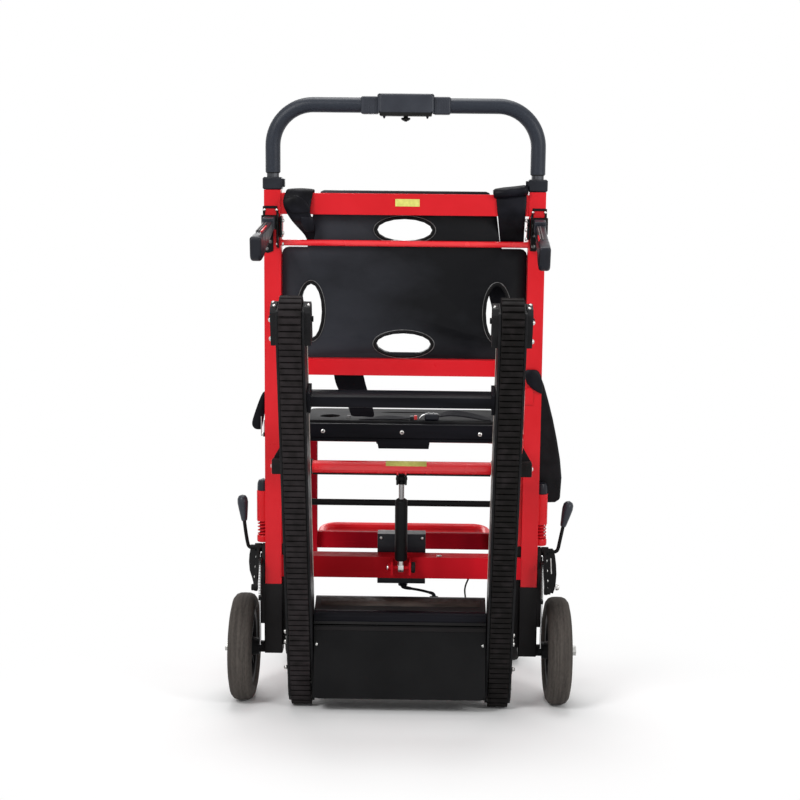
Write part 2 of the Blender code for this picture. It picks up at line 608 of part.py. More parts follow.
def lift_handle(name, side):
    """A folding handle behind an upright, used to carry the chair."""
    place = Vector((side * LIFT_X, *LIFT_PIVOT))
    body = pivot("lift_pivot_" + name, place, FRAME)
    world = FRAME @ place
    tilt = Matrix.Translation(world) @ Matrix.Rotation(LIFT_DROP[name], 4, "X")
    half = LIFT_WIDTH / 2
    end = -LIFT_LENGTH
    outline = [(0.009, -0.004), (0.006, 0.008), (-0.002, 0.0095), (-0.060, 0.006), (end + 0.006, 0.006),
               (end, 0.000), (end, -0.030), (end + 0.006, -0.036), (-0.088, -0.028), (-0.050, -0.018),
               (-0.004, -0.0105)]
    arm = piece("lift_handle_" + name, slab(outline, -half, half, "X", 0.0035), PLASTIC, tilt, body, 35)
    join(arm, rod(0.004, (-half - 0.0050, 0, 0), (half + 0.0050, 0, 0), 12), tilt)


def plunger(name, side):
    """A spring-loaded rod beside an upright, with its cap and its foot."""
    x, y = side * PLUNGER_X, PLUNGER_Y
    low = PLUNGER_TUBE[1]
    foot, foot_low, foot_high = PLUNGER_FOOT
    cap, cap_low, cap_high = PLUNGER_CAP
    body = pivot("plunger_guide_" + name, (x, y, low), FRAME)
    core = rod(PLUNGER_ROD, (x, y, foot_low + 0.007), (x, y, cap_high - 0.012), 12)
    pin = piece("plunger_" + name, core, BLACK, FRAME, body, 60)
    join(pin, rod(cap, (x, y, cap_low), (x, y, cap_high), 16), FRAME)
    join(pin, rod(foot, (x, y, foot_low), (x, y, foot_high), 16), FRAME)
    gap = SPRING_WIRE + GAP
    start, end = foot_high + gap, low - gap
    steps = 8
    count = round(SPRING_CURLS * steps)
    points = []
    for i in range(count + 1):
        turn = 2 * pi * i / steps
        rise = min(max((i - 3) / (count - 6), 0), 1)
        height = start + (end - start) * rise
        points.append((x + SPRING_RADIUS * cos(turn), y + SPRING_RADIUS * sin(turn), height))
    print("plunger_spring_" + name, "least gap to itself, mm:", round(1000 * least_gap(points, steps), 2))
    tube_along("plunger_spring_" + name, points, SPRING_WIRE, STEEL, FRAME, None, 1)


def least_gap(points, steps):
    """The least clear distance between parts of a coiled wire that are half a curl or more apart."""
    line = [Vector(p) for p in points]
    far = steps // 2
    clear = [(b - a).length for i, a in enumerate(line) for b in line[i + far:]]
    return min(clear) - 2 * SPRING_WIRE


def brake_lever(name, side):
    """A lever with a knob, and the pad that it presses on the tyre."""
    y, z = BRAKE_PIVOT

    def at(out, rise=0.0):
        return side * (FRAME_EDGE + out), y, z + rise

    body = pivot("brake_pivot_" + name, at(0.010))
    lever = piece("brake_lever_" + name, rod(PIN, at(0.0030), at(0.0385)), BLACK, WORLD, body)
    join(lever, rod(BRAKE_HUB, at(0.0094), at(0.0360)))
    join(lever, rod(0.0040, at(0.0365, -0.001), at(0.0470, 0.055), 8))
    join(lever, rod(0.0055, at(0.0465, 0.051), at(0.0530, 0.092), 10, 0.0098))
    join(lever, rod(0.0098, at(0.0530, 0.0915), at(0.0543, 0.101), 10, 0.0060))
    pad_y, pad_z = y - BRAKE_ARM * sin(BRAKE_REST), z - BRAKE_ARM * cos(BRAKE_REST)
    faces = sorted((side * (FRAME_EDGE + 0.0102), side * (FRAME_EDGE + 0.0210)))
    join(lever, slab(stadium((pad_y, pad_z), (y, z), BRAKE_HUB, 4), *faces))
    pad_ends = (side * (FRAME_EDGE + 0.0120), pad_y, pad_z), (side * (FRAME_EDGE + 0.0380), pad_y, pad_z)
    join(lever, rod(0.006, *pad_ends))


# Wheels

def rear_wheel(name, side):
    middle = (side * WHEEL_X, 0, WHEEL_RADIUS)
    body = pivot("wheel_axle_" + name, middle)
    half = WHEEL_WIDTH / 2
    wall, shoulder = WHEEL_RADIUS - 0.016, WHEEL_RADIUS - 0.0045
    tread = [(-half + 0.006, RIM_RADIUS), (-half, wall), (-half + 0.003, shoulder), (-0.010, WHEEL_RADIUS),
             (0.010, WHEEL_RADIUS), (half - 0.003, shoulder), (half, wall), (half - 0.006, RIM_RADIUS)]
    piece("tyre_" + name, turned(tread, middle, WHEEL_STEPS), TYRE, WORLD, body, 40)
    rim = RIM_RADIUS - GAP
    bore = AXLE_RADIUS + BORE_GAP
    boss = WHEEL_BOSS - WHEEL_X
    end = AXLE_END - 0.0068 - WHEEL_X
    hub = [(boss, bore), (boss, 0.016), (-0.008, 0.018), (-0.0165, rim), (0.0165, rim), (0.008, 0.018),
           (end, 0.016), (end, bore)]
    spun = turned([(side * x, r) for x, r in hub], middle, WHEEL_STEPS)
    piece("wheel_hub_" + name, spun, BLACK, WORLD, body, 40)


def caster(name, side):
    stem = (side * CASTER_X, CASTER_Y, FRONT_BAR_LOW)
    swivel = pivot("caster_stem_" + name, stem)
    x = side * CASTER_X
    axle_y = CASTER_Y - CASTER_TRAIL
    pin = rod(0.006, (x, CASTER_Y, 0.136), (x, CASTER_Y, FRONT_BAR_LOW - 0.002), 12)
    fork = piece("caster_fork_" + name, pin, STEEL, WORLD, swivel)
    join(fork, box((x - 0.0205, CASTER_Y - 0.024, 0.131), (x + 0.0205, CASTER_Y + 0.016, 0.141)))
    outline = [(CASTER_Y + 0.014, 0.140), (CASTER_Y + 0.010, 0.110), (axle_y + 0.009, 0.0525),
               (axle_y - 0.009, 0.0525), (axle_y - 0.011, 0.070), (CASTER_Y - 0.022, 0.140)]
    for cheek in (-1, 1):
        faces = sorted((x + cheek * 0.0165, x + cheek * 0.0205))
        join(fork, slab(outline, *faces))
    join(fork, rod(0.004, (x - 0.0225, axle_y, CASTER_RADIUS), (x + 0.0225, axle_y, CASTER_RADIUS), 12))
    wheel = pivot("caster_axle_" + name, (x, axle_y, CASTER_RADIUS))
    half = CASTER_WIDTH / 2
    rim = CASTER_RADIUS
    bore = 0.004 + BORE_GAP
    profile = [(-half - 0.002, bore), (-half - 0.002, 0.012), (-half, rim - 0.005), (-half + 0.006, rim),
               (half - 0.006, rim), (half, rim - 0.005), (half + 0.002, 0.012), (half + 0.002, bore)]
    spun = turned(profile, (x, axle_y, CASTER_RADIUS), CASTER_STEPS)
    piece("caster_wheel_" + name, spun, RUBBER, WORLD, wheel, 40)


# Seat, front legs and foot loop

def seat():
    body = pivot("seat_pivot", (0, 0, 0), SEAT)
    top = SIDE_HEIGHT / 2
    rear = SEAT_REAR
    front = SEAT_LENGTH - 0.015
    inner, outer = SIDE_X - SIDE_TUBE / 2, SIDE_X + SIDE_TUBE / 2
    tubes = piece("seat_frame", sided((inner, rear, -top), (outer, front, top), -1), RED, SEAT, body)
    join(tubes, sided((inner, rear, -top), (outer, front, top), 1), SEAT)
    join(tubes, box((-inner - 0.001, front - 0.020, -top), (inner + 0.001, front, top)), SEAT)
    join(tubes, box((-inner - 0.001, rear + 0.004, -top), (inner + 0.001, rear + 0.016, -0.003)), SEAT)
    for side in (-1, 1):
        start = side * (SIDE_X + 0.002)
        join(tubes, rod(PIN, (start, 0, 0), (side * (INNER_X + 0.002), 0, 0), 16), SEAT)
        join(tubes, rod(PIN, (start, SEAT_REACH, 0), (side * (LEG_X + 0.0125), SEAT_REACH, 0), 16), SEAT)
    wall = TUBE_WALL
    for side in (-1, 1):
        cut(tubes, sided((inner + wall, rear - 0.01, -top + wall),
                         (outer - wall, front + 0.01, top - wall), side), SEAT)
    seat_panel(body, top)
    shell = box((-SEAT_HALF, -0.030, -0.004), (SEAT_HALF, rear - GAP, 0.023), 0.0015)
    rail = piece("seat_rear_rail", shell, BLACK, SEAT, body)
    latch = [(-0.052, -0.0035), (0.052, -0.0035), (0.048, -0.014), (-0.048, -0.014)]
    join(rail, slab(latch, -0.026, rear - GAP, "Y"), SEAT)
    lap_belt(body, top + GAP + PANEL_THICK)


def seat_panel(body, top):
    low = top + GAP
    high = low + PANEL_THICK
    near, far = SEAT_REAR + GAP, SEAT_LENGTH
    side = SEAT_HALF
    outline = ([(-side, near)] + [(side, near)] + arc((side - 0.03, far - 0.03), 0.03, 0, 90, 4) +
               arc((-side + 0.03, far - 0.03), 0.03, 90, 180, 4))
    panel = piece("seat_panel", slab(outline, low, high, "Z", 0.003), PLASTIC, SEAT, body, 35)
    holes = (((0, 0.270), OVAL_LONG, OVAL_SHORT), ((-0.144, 0.125), OVAL_SHORT, OVAL_LONG),
             ((0.144, 0.125), OVAL_SHORT, OVAL_LONG))
    for middle, wide, deep in holes:
        cut(panel, slab(ellipse(middle, wide, deep), low - 0.01, high + 0.01, "Z"), SEAT)


def lap_belt(body, top):
    """The belt that lies across the back of the seat, with its buckle."""
    low = top + GAP
    y = -0.003
    belt = piece("lap_belt", box((-0.085, y, low), (0.150, y + 0.038, low + 0.003)), WEBBING, SEAT, body)
    join(belt, box((0.026, y - 0.002, low), (0.067, y + 0.040, low + 0.014), 0.003), SEAT)
    cut(belt, box((0.015, y + 0.008, low + 0.0035), (0.038, y + 0.030, low + 0.0095)), SEAT)
    button = pivot("button_guide", (0.026, y + 0.019, low + 0.0065), SEAT)
    shell = box((0.020, y + 0.0085, low + 0.0040), (0.0340, y + 0.0295, low + 0.0090), 0.0008)
    piece("buckle_button", shell, BUTTON, SEAT, button)


def brace():
    """The rod and two bars that keep the front legs upright when the seat folds."""
    body = pivot("brace_pivot", (0, *BRACE_PIVOT))
    end = INNER_X + 0.0025
    cross = rod(BRACE_ROD, (-end, *BRACE_PIVOT), (end, *BRACE_PIVOT), 12)
    frame = piece("brace", cross, BLACK, WORLD, body)
    for side in (-1, 1):
        faces = sorted((side * BRACE_BAR[0], side * BRACE_BAR[1]))
        join(frame, slab(stadium(BRACE_PIVOT, BRACE_END, 0.011), *faces))
    for side in (-1, 1):
        ends = (side * (BRACE_BAR[0] - 0.006), *BRACE_END), (side * (BRACE_BAR[1] + 0.006), *BRACE_END)
        cut(frame, rod(PIN + SLIDE_GAP, *ends))


def front_legs():
    body = pivot("leg_pivot", (0, *LEG_PIVOT))
    half = LEG / 2
    low, high, rear = FRONT_BAR_LOW, FRONT_BAR_HIGH, FRONT_BAR_REAR
    shell = box((-FRONT_BAR_HALF, rear, low), (FRONT_BAR_HALF, rear + FRONT_BAR_DEPTH, high), 0.002)
    bar = piece("front_legs", shell, RED, WORLD, body)
    for side in (-1, 1):
        x = side * LEG_X
        outline = arc((0, 0), half, 0, 180, 6) + [(-half, -LEG_LENGTH), (half, -LEG_LENGTH)]
        join(bar, slab(outline, x - half, x + half), LEG_FRAME)
        pin_ends = (side * (LEG_X + 0.005), *BRACE_END), (side * (BRACE_BAR[1] + 0.004), *BRACE_END)
        join(bar, rod(PIN, *pin_ends))
        stem_x = side * CASTER_X
        join(bar, rod(0.014, (stem_x, CASTER_Y, 0.1415), (stem_x, CASTER_Y, low + 0.001)))
        join(bar, sided((FOOT_HALF + 0.012, rear + 0.01, FOOT_Z - 0.011),
                        (FOOT_HALF + 0.016, FOOT_Y + 0.010, FOOT_Z + 0.011), side))
    for side in (-1, 1):
        x = side * LEG_X
        cut(bar, rod(PIN + BORE_GAP, (x - 0.02, *LEG_PIVOT), (x + 0.02, *LEG_PIVOT)))
        stem_x = side * CASTER_X
        cut(bar, rod(0.006 + BORE_GAP, (stem_x, CASTER_Y, 0.13), (stem_x, CASTER_Y, low - 0.0015)))
        ends = (side * (FOOT_HALF + 0.008), FOOT_Y, FOOT_Z), (side * (FOOT_HALF + 0.020), FOOT_Y, FOOT_Z)
        cut(bar, rod(0.004 + BORE_GAP, *ends))


def foot_loop():
    body = pivot("foot_pivot", (0, FOOT_Y, FOOT_Z))
    bend = 0.030
    x = FOOT_HALF
    flat = [(-x, 0)] + arc((-x + bend, FOOT_REACH - bend), bend, 180, 90, 5)
    flat += arc((x - bend, FOOT_REACH - bend), bend, 90, 0, 5) + [(x, 0)]
    rise = 0.014 / FOOT_REACH
    points = [(a, FOOT_Y + b, FOOT_Z + b * rise) for a, b in flat]
    loop = piece("foot_loop", sweep(points, FOOT_TUBE, 12), RED, WORLD, body, 60)
    for side in (-1, 1):
        join(loop, rod(0.004, (side * x, FOOT_Y, FOOT_Z), (side * (x + 0.018), FOOT_Y, FOOT_Z)))


def sweep(points, radius, sides):
    """A round bar along points, as a closed mesh: a ring of corners at each point."""
    mesh = bmesh.new()
    line = [Vector(p) for p in points]
    rings = []
    side = None
    for i, spot in enumerate(line):
        back = line[max(i - 1, 0)]
        ahead = line[min(i + 1, len(line) - 1)]
        before = (spot - back).normalized() if i else (ahead - spot).normalized()
        after = (ahead - spot).normalized() if i < len(line) - 1 else before
        along = (before + after).normalized()
        if side is None:
            side = along.orthogonal().normalized()
        side = (side - along * side.dot(along)).normalized()
        up = along.cross(side)
        stretch = 1 / max(along.dot(after), 0.5)
        bend = (after - before)
        out = bend.normalized() if bend.length > 1e-6 else side
        ring = []
        for k in range(sides):
            turn = 2 * pi * k / sides
            spoke = side * cos(turn) + up * sin(turn)
            spoke += out * spoke.dot(out) * (stretch - 1)
            ring.append(mesh.verts.new(spot + spoke * radius))
        rings.append(ring)
    for a, b in zip(rings, rings[1:]):
        for k in range(sides):
            mesh.faces.new((a[k], a[(k + 1) % sides], b[(k + 1) % sides], b[k]))
    mesh.faces.new(rings[0])
    mesh.faces.new(rings[-1])
    return mesh


# Tracks

def belt_outline(inner, outer, lugs):
    """A loop round the drive axle and the idler, as points (y, u), with a groove before each lug."""
    run = TRACK_CENTRES
    bend = pi * BELT_ROOT
    whole = 2 * run + 2 * bend

    def spot(s, radius):
        s = s % whole
        if s < run:
            return -radius, s
        if s < run + bend:
            turn = (s - run) / BELT_ROOT
            return -radius * cos(turn), run + radius * sin(turn)
        if s < 2 * run + bend:
            return radius, run - (s - run - bend)
        turn = (s - 2 * run - bend) / BELT_ROOT
        return radius * cos(turn), -radius * sin(turn)

    pitch = whole / lugs
    points = []
    for i in range(lugs):
        points += [spot(i * pitch, inner), spot((i + GROOVE / 2) * pitch, outer),
                   spot((i + 1 - GROOVE / 2) * pitch, outer)]
    return points


def track(name, side, body):
    x = side * TRACK_X
    start, end = 0.045, TRACK_CENTRES - 0.055
    shell = box((x - BEAM_SIDE, -BEAM_HALF, start), (x + BEAM_SIDE, BEAM_HALF, end))
    beam = piece("track_frame_" + name, shell, BLACK, TRACK, body)
    edge, far = BELT_ROOT, TRACK_CENTRES
    tip = [(-edge, 0.000), (-0.020, -0.024), (0.0, -0.030), (0.020, -0.024), (edge, 0.000)]
    outline = tip + [(edge, far + 0.005), (0.022, far + 0.022), (-0.022, far + 0.022), (-edge, far + 0.005)]
    block = [(-0.020, far - 0.040), (0.020, far - 0.040), (0.020, far + 0.018), (0.012, far + 0.026),
             (-0.012, far + 0.026), (-0.020, far + 0.018)]
    for cheek in (-1, 1):
        faces = sorted((x + cheek * PLATE[0], x + cheek * PLATE[1]))
        join(beam, slab(outline, *faces), TRACK)
        faces = sorted((x + cheek * (PLATE[1] - 0.0010), x + cheek * TENSIONER_FACE))
        join(beam, slab(block, *faces), TRACK)
    bore = (BEAM_SIDE - BEAM_WALL, BEAM_HALF - BEAM_WALL)
    cut(beam, box((x - bore[0], -bore[1], start - 0.005), (x + bore[0], bore[1], end + 0.005)), TRACK)
    cut(beam, rod(SHAFT + BORE_GAP, (x - 0.05, 0, 0), (x + 0.05, 0, 0), 16), TRACK)
    cut(beam, rod(PIN + BORE_GAP, (x - 0.05, 0, TRACK_CENTRES), (x + 0.05, 0, TRACK_CENTRES)), TRACK)
    belt_mesh(name, x, body)
    idler(name, x, side)


def belt_mesh(name, x, body):
    half = BELT_WIDTH / 2
    outer = slab(belt_outline(BELT_ROOT, BELT_TIP, LUGS), x - half, x + half)
    made = piece("belt_" + name, outer, RUBBER, TRACK, body)
    inner = stadium((0, 0), (0, TRACK_CENTRES), BELT_INNER, 12)
    cut(made, slab(inner, x - half - 0.01, x + half + 0.01), TRACK)


def idler(name, x, side):
    """The upper roller with its axle, whose bolt head shows outside."""
    place = (x, 0, TRACK_CENTRES)
    body = pivot("idler_axle_" + name, place, TRACK)
    half, end = BELT_WIDTH / 2 - GAP, TENSIONER_FACE + 0.0035
    drum = rod(BELT_INNER - GAP, (x - half, 0, TRACK_CENTRES), (x + half, 0, TRACK_CENTRES), 20)
    roller = piece("idler_" + name, drum, PLASTIC, TRACK, body, 50)
    join(roller, rod(PIN, (x - end, 0, TRACK_CENTRES), (x + end, 0, TRACK_CENTRES)), TRACK)


def drive_shaft():
    body = pivot("drive_axle", (0, *DRIVE_AXLE))
    end = TRACK_X + PLATE[1] + 0.003
    shaft = piece("drive_shaft", rod(SHAFT, (-end, 0, 0), (end, 0, 0), 16), STEEL, TRACK, body, 50)
    for side in (-1, 1):
        x = side * TRACK_X
        half = BELT_WIDTH / 2 - GAP
        join(shaft, rod(BELT_INNER - GAP, (x - half, 0, 0), (x + half, 0, 0), 20), TRACK)


def upper_bar(body):
    depth, height = UPPER_BAR_SIZE
    half = TRACK_X - PLATE[1] - GAP
    low, high = UPPER_BAR - height / 2, UPPER_BAR + height / 2
    shell = box((-half, -depth / 2, low), (half, depth / 2, high), 0.003, 2)
    bar = piece("upper_bar", shell, BLACK, TRACK, body, 40)
    for side in (-1, 1):
        join(bar, sided((half - 0.006, -0.021, low - 0.008), (half, 0.021, high + 0.008), side), TRACK)
    wall, bore_end = BAR_WALL, half + 0.01
    inside = depth / 2 - wall
    cut(bar, box((-bore_end, -inside, low + wall), (bore_end, inside, high - wall)), TRACK)


def push_bar(body):
    """The red bar between the tracks' links, with its end buffers and the gas spring's bracket."""
    y, z = PUSH_BAR
    tube = rod(PUSH_RADIUS, (-PUSH_HALF, y, z), (PUSH_HALF, y, z), 16)
    bar = piece("push_bar", tube, RED, WORLD, body, 40)
    plate = TRACK_X + PLATE[1] + GAP
    buffer = 0.013
    for side in (-1, 1):
        join(bar, sided((PUSH_HALF - 0.001, y - buffer, z - buffer),
                        (PUSH_HALF + buffer, y + buffer, z + buffer), side))
        faces = sorted((side * plate, side * (plate + 0.005)))
        join(bar, slab(stadium(PUSH_BAR, LINK_TOP, 0.0095), *faces))
    ear = 0.0058
    head_y, head_z = GAS_HEAD
    for side in (-1, 1):
        outline = arc((head_y, head_z), 0.0090, 180, 360, 6) + [(head_y + 0.0085, z), (head_y - 0.0085, z)]
        join(bar, slab(outline, *sorted((side * ear, side * (ear + 0.003)))))
    cut(bar, rod(0.003 + GAS_PLAY, (-0.02, head_y, head_z), (0.02, head_y, head_z), 16))


def gas_spring():
    body = pivot("gas_pivot", (0, *GAS_FOOT))
    low, high = GAS_BODY
    tube = piece("gas_cylinder", rod(GAS_RADIUS, (0, 0, low), (0, 0, high), 16), BLACK, GAS, body, 50)
    join(tube, rod(0.0060, (0, 0, 0.004), (0, 0, low + 0.001), 12), GAS)
    join(tube, rod(GAS_EYE, (-0.0052, 0, 0), (0.0052, 0, 0)), GAS)
    cut(tube, rod(0.004 + BORE_GAP, (-0.01, 0, 0), (0.01, 0, 0)), GAS)
    cut(tube, rod(GAS_ROD + BORE_GAP, (0, 0, 0.030), (0, 0, high + 0.01)), GAS)
    slide = pivot("gas_slide", (0, 0, high), GAS)
    stem = piece("gas_rod", rod(GAS_ROD, (0, 0, 0.045), (0, 0, GAS_LENGTH)), STEEL, GAS, slide, 50)
    join(stem, rod(GAS_HEAD_EYE, (-0.0052, 0, GAS_LENGTH), (0.0052, 0, GAS_LENGTH)), GAS)
    join(stem, rod(0.003, (-0.0110, 0, GAS_LENGTH), (0.0110, 0, GAS_LENGTH), 12), GAS)
    for side in (-1, 1):
        ends = (side * 0.0091, 0, GAS_LENGTH), (side * 0.0115, 0, GAS_LENGTH)
        join(stem, rod(GAS_WASHER, *ends, 12), GAS)


# Drive box

def drive_box():
    wall = CASE_WALL
    shell = box((-CASE_HALF, CASE_REAR, CASE_LOW), (CASE_HALF, CASE_FRONT, CASE_HIGH))
    case = piece("drive_casing", shell, BLACK)
    cut(case, box((-CASE_HALF + wall, CASE_REAR - 0.01, CASE_LOW + wall),
                  (CASE_HALF - wall, CASE_FRONT - wall, CASE_HIGH + 0.01)))
    cut(case, rod(SHAFT + BORE_GAP, (-0.2, *DRIVE_AXLE), (0.2, *DRIVE_AXLE), 16))
    edge = 0.008
    seam = CASE_HIGH - 0.0017
    outline = [(-CASE_HALF + edge, CASE_LOW), (CASE_HALF - edge, CASE_LOW), (CASE_HALF, CASE_LOW + edge),
               (CASE_HALF, seam), (-CASE_HALF, seam), (-CASE_HALF, CASE_LOW + edge)]
    piece("rear_cover", slab(outline, CASE_REAR - GAP - 0.003, CASE_REAR - GAP, "Y"), BLACK)
    lid_shell()
    drive_motor()
    inside = wall + GAP
    pack_low = (-CASE_HALF + inside, CASE_REAR + 0.006, CASE_LOW + 0.035)
    piece("battery_pack", box(pack_low, (-0.045, CASE_FRONT - inside, CASE_HIGH - 0.0137)), PLASTIC)


def lid_shell():
    low = CASE_HIGH + GAP
    rear = CASE_REAR - GAP - 0.003
    wall, brow = CASE_WALL, CASE_HIGH + 0.0198
    outline = [(rear, low), (rear, brow - 0.0055), (CASE_REAR + 0.0015, brow),
               (CASE_REAR + 0.048, LID_RIDGE), (CASE_REAR + 0.058, LID_RIDGE),
               (CASE_FRONT, CASE_HIGH + 0.0083), (CASE_FRONT, low)]
    lid = piece("casing_lid", slab(outline, -CASE_HALF, CASE_HALF), BLACK)
    hollow = [(CASE_REAR + wall, low - 0.01), (CASE_REAR + wall, brow - 0.0035),
              (CASE_REAR + 0.048, LID_RIDGE - wall), (CASE_REAR + 0.058, LID_RIDGE - wall),
              (CASE_FRONT - wall, CASE_HIGH + 0.0058), (CASE_FRONT - wall, low - 0.01)]
    cut(lid, slab(hollow, -CASE_HALF + wall, CASE_HALF - wall))
    x, y = CABLE_IN
    join(lid, rod(0.0080, (x, y, CABLE_IN_Z - 0.0145), (x, y, CABLE_IN_Z), 12))


def drive_motor():
    y, z = DRIVE_AXLE
    floor = CASE_LOW + CASE_WALL + GAP
    gearbox = box((-0.035, y - 0.030, floor), (0.035, y + 0.045, z + 0.080), 0.003)
    motor = piece("drive_motor", gearbox, STEEL)
    can = (y + 0.0375, z + 0.060)
    join(motor, rod(0.034, (0.030, *can), (CASE_HALF - 0.016, *can), 16))
    cut(motor, rod(SHAFT + BORE_GAP, (-0.05, y, z), (0.05, y, z), 16))


def junction_box():
    """The control unit on the lower crossbar's front, with its cable gland."""
    rear = LOWER_DEPTH / 2 + GAP
    shell = box((-UNIT_HALF, rear, UNIT_LOW), (UNIT_HALF, rear + UNIT_DEPTH, UNIT_HIGH))
    unit = piece("junction_box", shell, PLASTIC, FRAME)
    x, y, low = GLAND
    join(unit, rod(0.0090, GLAND, (x, y, UNIT_LOW + 0.0015), 8), FRAME)


def smooth_line(route, count):
    """A smooth curve through the route's points, read at an even spacing."""
    spots = [Vector(p) for p in route]
    spots = [2 * spots[0] - spots[1]] + spots + [2 * spots[-1] - spots[-2]]
    fine = []
    for a, b, c, d in zip(spots, spots[1:], spots[2:], spots[3:]):
        for i in range(12):
            t = i / 12
            fine.append(0.5 * (2 * b + (c - a) * t + (2 * a - 5 * b + 4 * c - d) * t * t
                               + (3 * b - a - 3 * c + d) * t * t * t))
    fine.append(spots[-2])
    lengths = [0.0]
    for a, b in zip(fine, fine[1:]):
        lengths.append(lengths[-1] + (b - a).length)
    even = []
    for i in range(count):
        want = lengths[-1] * i / (count - 1)
        k = max(j for j in range(len(lengths) - 1) if lengths[j] <= want)
        share = (want - lengths[k]) / (lengths[k + 1] - lengths[k])
        even.append(fine[k].lerp(fine[k + 1], share))
    return even


def drive_cable():
    """The lead held between the junction box's gland and the lid's gland."""
    x, y = CABLE_IN
    out_x, out_y, out_h = GLAND
    start = FRAME @ Vector((out_x, out_y, out_h - GAP))
    below = FRAME @ Vector((out_x, out_y, out_h - 0.0020))
    end = CABLE_IN_Z
    route = [below, (0.0085, below.y, end + 0.0150), (0.0200, below.y, end + 0.0130),
             (0.0350, y + 0.003, end + 0.0110), (x - 0.0130, y + 0.001, end + 0.0082),
             (x - 0.0030, y, end + 0.0055), (x, y, end + 0.0020)]
    line = [start] + smooth_line(route, 11) + [(x, y, end + GAP)]
    tube_along("drive_cable", line, CABLE, RUBBER)


def build():
    for name, side in SIDES:
        upright(name, side)
        sleeve(name, side)
        collar(name, side)
        shoulder_strap(name, side)
        lift_handle(name, side)
        plunger(name, side)
        brake_lever(name, side)
        rear_wheel(name, side)
        caster(name, side)
    crossbar("top_crossbar", TOP_CROSSBAR, CROSSBAR_DEPTH, CROSSBAR_HEIGHT, CROSSBAR_Y)
    crossbar("middle_crossbar", MIDDLE_CROSSBAR, CROSSBAR_DEPTH, MIDDLE_HEIGHT, CROSSBAR_Y)
    gas_clevis(crossbar("lower_crossbar", LOWER_CROSSBAR, LOWER_DEPTH, LOWER_HEIGHT, 0))
    backrest()
    side_strap()
    pull_rod()
    control_box(push_handle())
    seat()
    brace()
    front_legs()
    foot_loop()
    arms = pivot("track_pivot", (0, *DRIVE_AXLE))
    for name, side in SIDES:
        track(name, side, arms)
    upper_bar(arms)
    push_bar(arms)
    drive_shaft()
    gas_spring()
    drive_box()
    junction_box()
    drive_cable()


build()
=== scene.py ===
# Stair climbing chair: finishes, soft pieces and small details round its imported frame
import json
from math import cos, pi, radians, sin

import bmesh
import bpy
from mathutils import Matrix, Vector


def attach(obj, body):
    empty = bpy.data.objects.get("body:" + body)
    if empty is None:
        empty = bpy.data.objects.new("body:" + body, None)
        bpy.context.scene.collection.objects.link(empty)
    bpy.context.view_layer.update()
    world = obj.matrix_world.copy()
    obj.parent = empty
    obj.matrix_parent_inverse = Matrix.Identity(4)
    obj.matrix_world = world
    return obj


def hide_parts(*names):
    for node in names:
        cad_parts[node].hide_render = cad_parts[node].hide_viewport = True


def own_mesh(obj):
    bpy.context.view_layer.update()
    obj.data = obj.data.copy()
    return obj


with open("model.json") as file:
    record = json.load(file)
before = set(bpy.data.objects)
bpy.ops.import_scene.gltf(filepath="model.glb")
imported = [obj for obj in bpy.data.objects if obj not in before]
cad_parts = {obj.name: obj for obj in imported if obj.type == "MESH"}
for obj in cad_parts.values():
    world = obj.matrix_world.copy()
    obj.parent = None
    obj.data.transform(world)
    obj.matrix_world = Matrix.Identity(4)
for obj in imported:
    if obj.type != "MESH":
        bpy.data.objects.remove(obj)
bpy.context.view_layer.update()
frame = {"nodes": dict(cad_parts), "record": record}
bodyOf = {node: body for body, nodes in frame["record"]["behaviour"]["bodies"].items() for node in nodes}
sides = (("left", -1), ("right", 1))
world = Matrix.Identity(4)
leaning = Matrix.Translation((0, 0.01, 0)) @ Matrix.Rotation(radians(6), 4, "X")
alongTrack = Matrix.Translation((0, -0.0375, 0.04)) @ Matrix.Rotation(radians(23.78), 4, "X")
print("packed frame loaded,", len(frame["nodes"]), "nodes")


# Camera, lights and floor

cameraSetup = {"place": (0.0356, -2.7824, 0.70142), "yaw": -0.01496, "pitch": 0.04828, "roll": 0.01157, "lens": 67.19}
lampSetup = {
    "key": {"place": (-1.5, -2.5, 2.4), "size": 0.9, "power": 46},
    "fill": {"place": (2.1, -2.1, 1.5), "size": 0.8, "power": 24},
    "top": {"place": (0, 0.3, 2.9), "size": 1.4, "power": 30},
    "rim": {"place": (-0.6, 2.4, 1.6), "size": 1.2, "power": 14},
}
worldLight = 0.5
floorSetup = {"radius": 9, "grey": 0.93, "shadowEnds": 0.25, "whiteFrom": 0.85}


def placeObject(name, data):
    made = bpy.data.objects.new(name, data)
    bpy.context.scene.collection.objects.link(made)
    return made


def addNode(tree, kind, sockets=None, **settings):
    # sockets pairs an input's name or number with its value or with another node's output
    made = tree.nodes.new("ShaderNode" + kind)
    for setting, value in settings.items():
        setattr(made, setting, value)
    for socket, value in (sockets or {}).items():
        if isinstance(value, bpy.types.NodeSocket):
            tree.links.new(value, made.inputs[socket])
        else:
            made.inputs[socket].default_value = value
    return made


def addCamera():
    yaw, pitch, roll = cameraSetup["yaw"], cameraSetup["pitch"], cameraSetup["roll"]
    forward = Vector((sin(yaw) * cos(pitch), cos(yaw) * cos(pitch), -sin(pitch)))
    level = Vector((cos(yaw), -sin(yaw), 0))
    upright = level.cross(forward)
    right = cos(roll) * level + sin(roll) * upright
    up = cos(roll) * upright - sin(roll) * level
    data = bpy.data.cameras.new("camera")
    data.lens = cameraSetup["lens"]
    made = placeObject("camera", data)
    turn = Matrix((right, up, -forward)).transposed().to_4x4()
    made.matrix_world = Matrix.Translation(cameraSetup["place"]) @ turn
    bpy.context.scene.camera = made


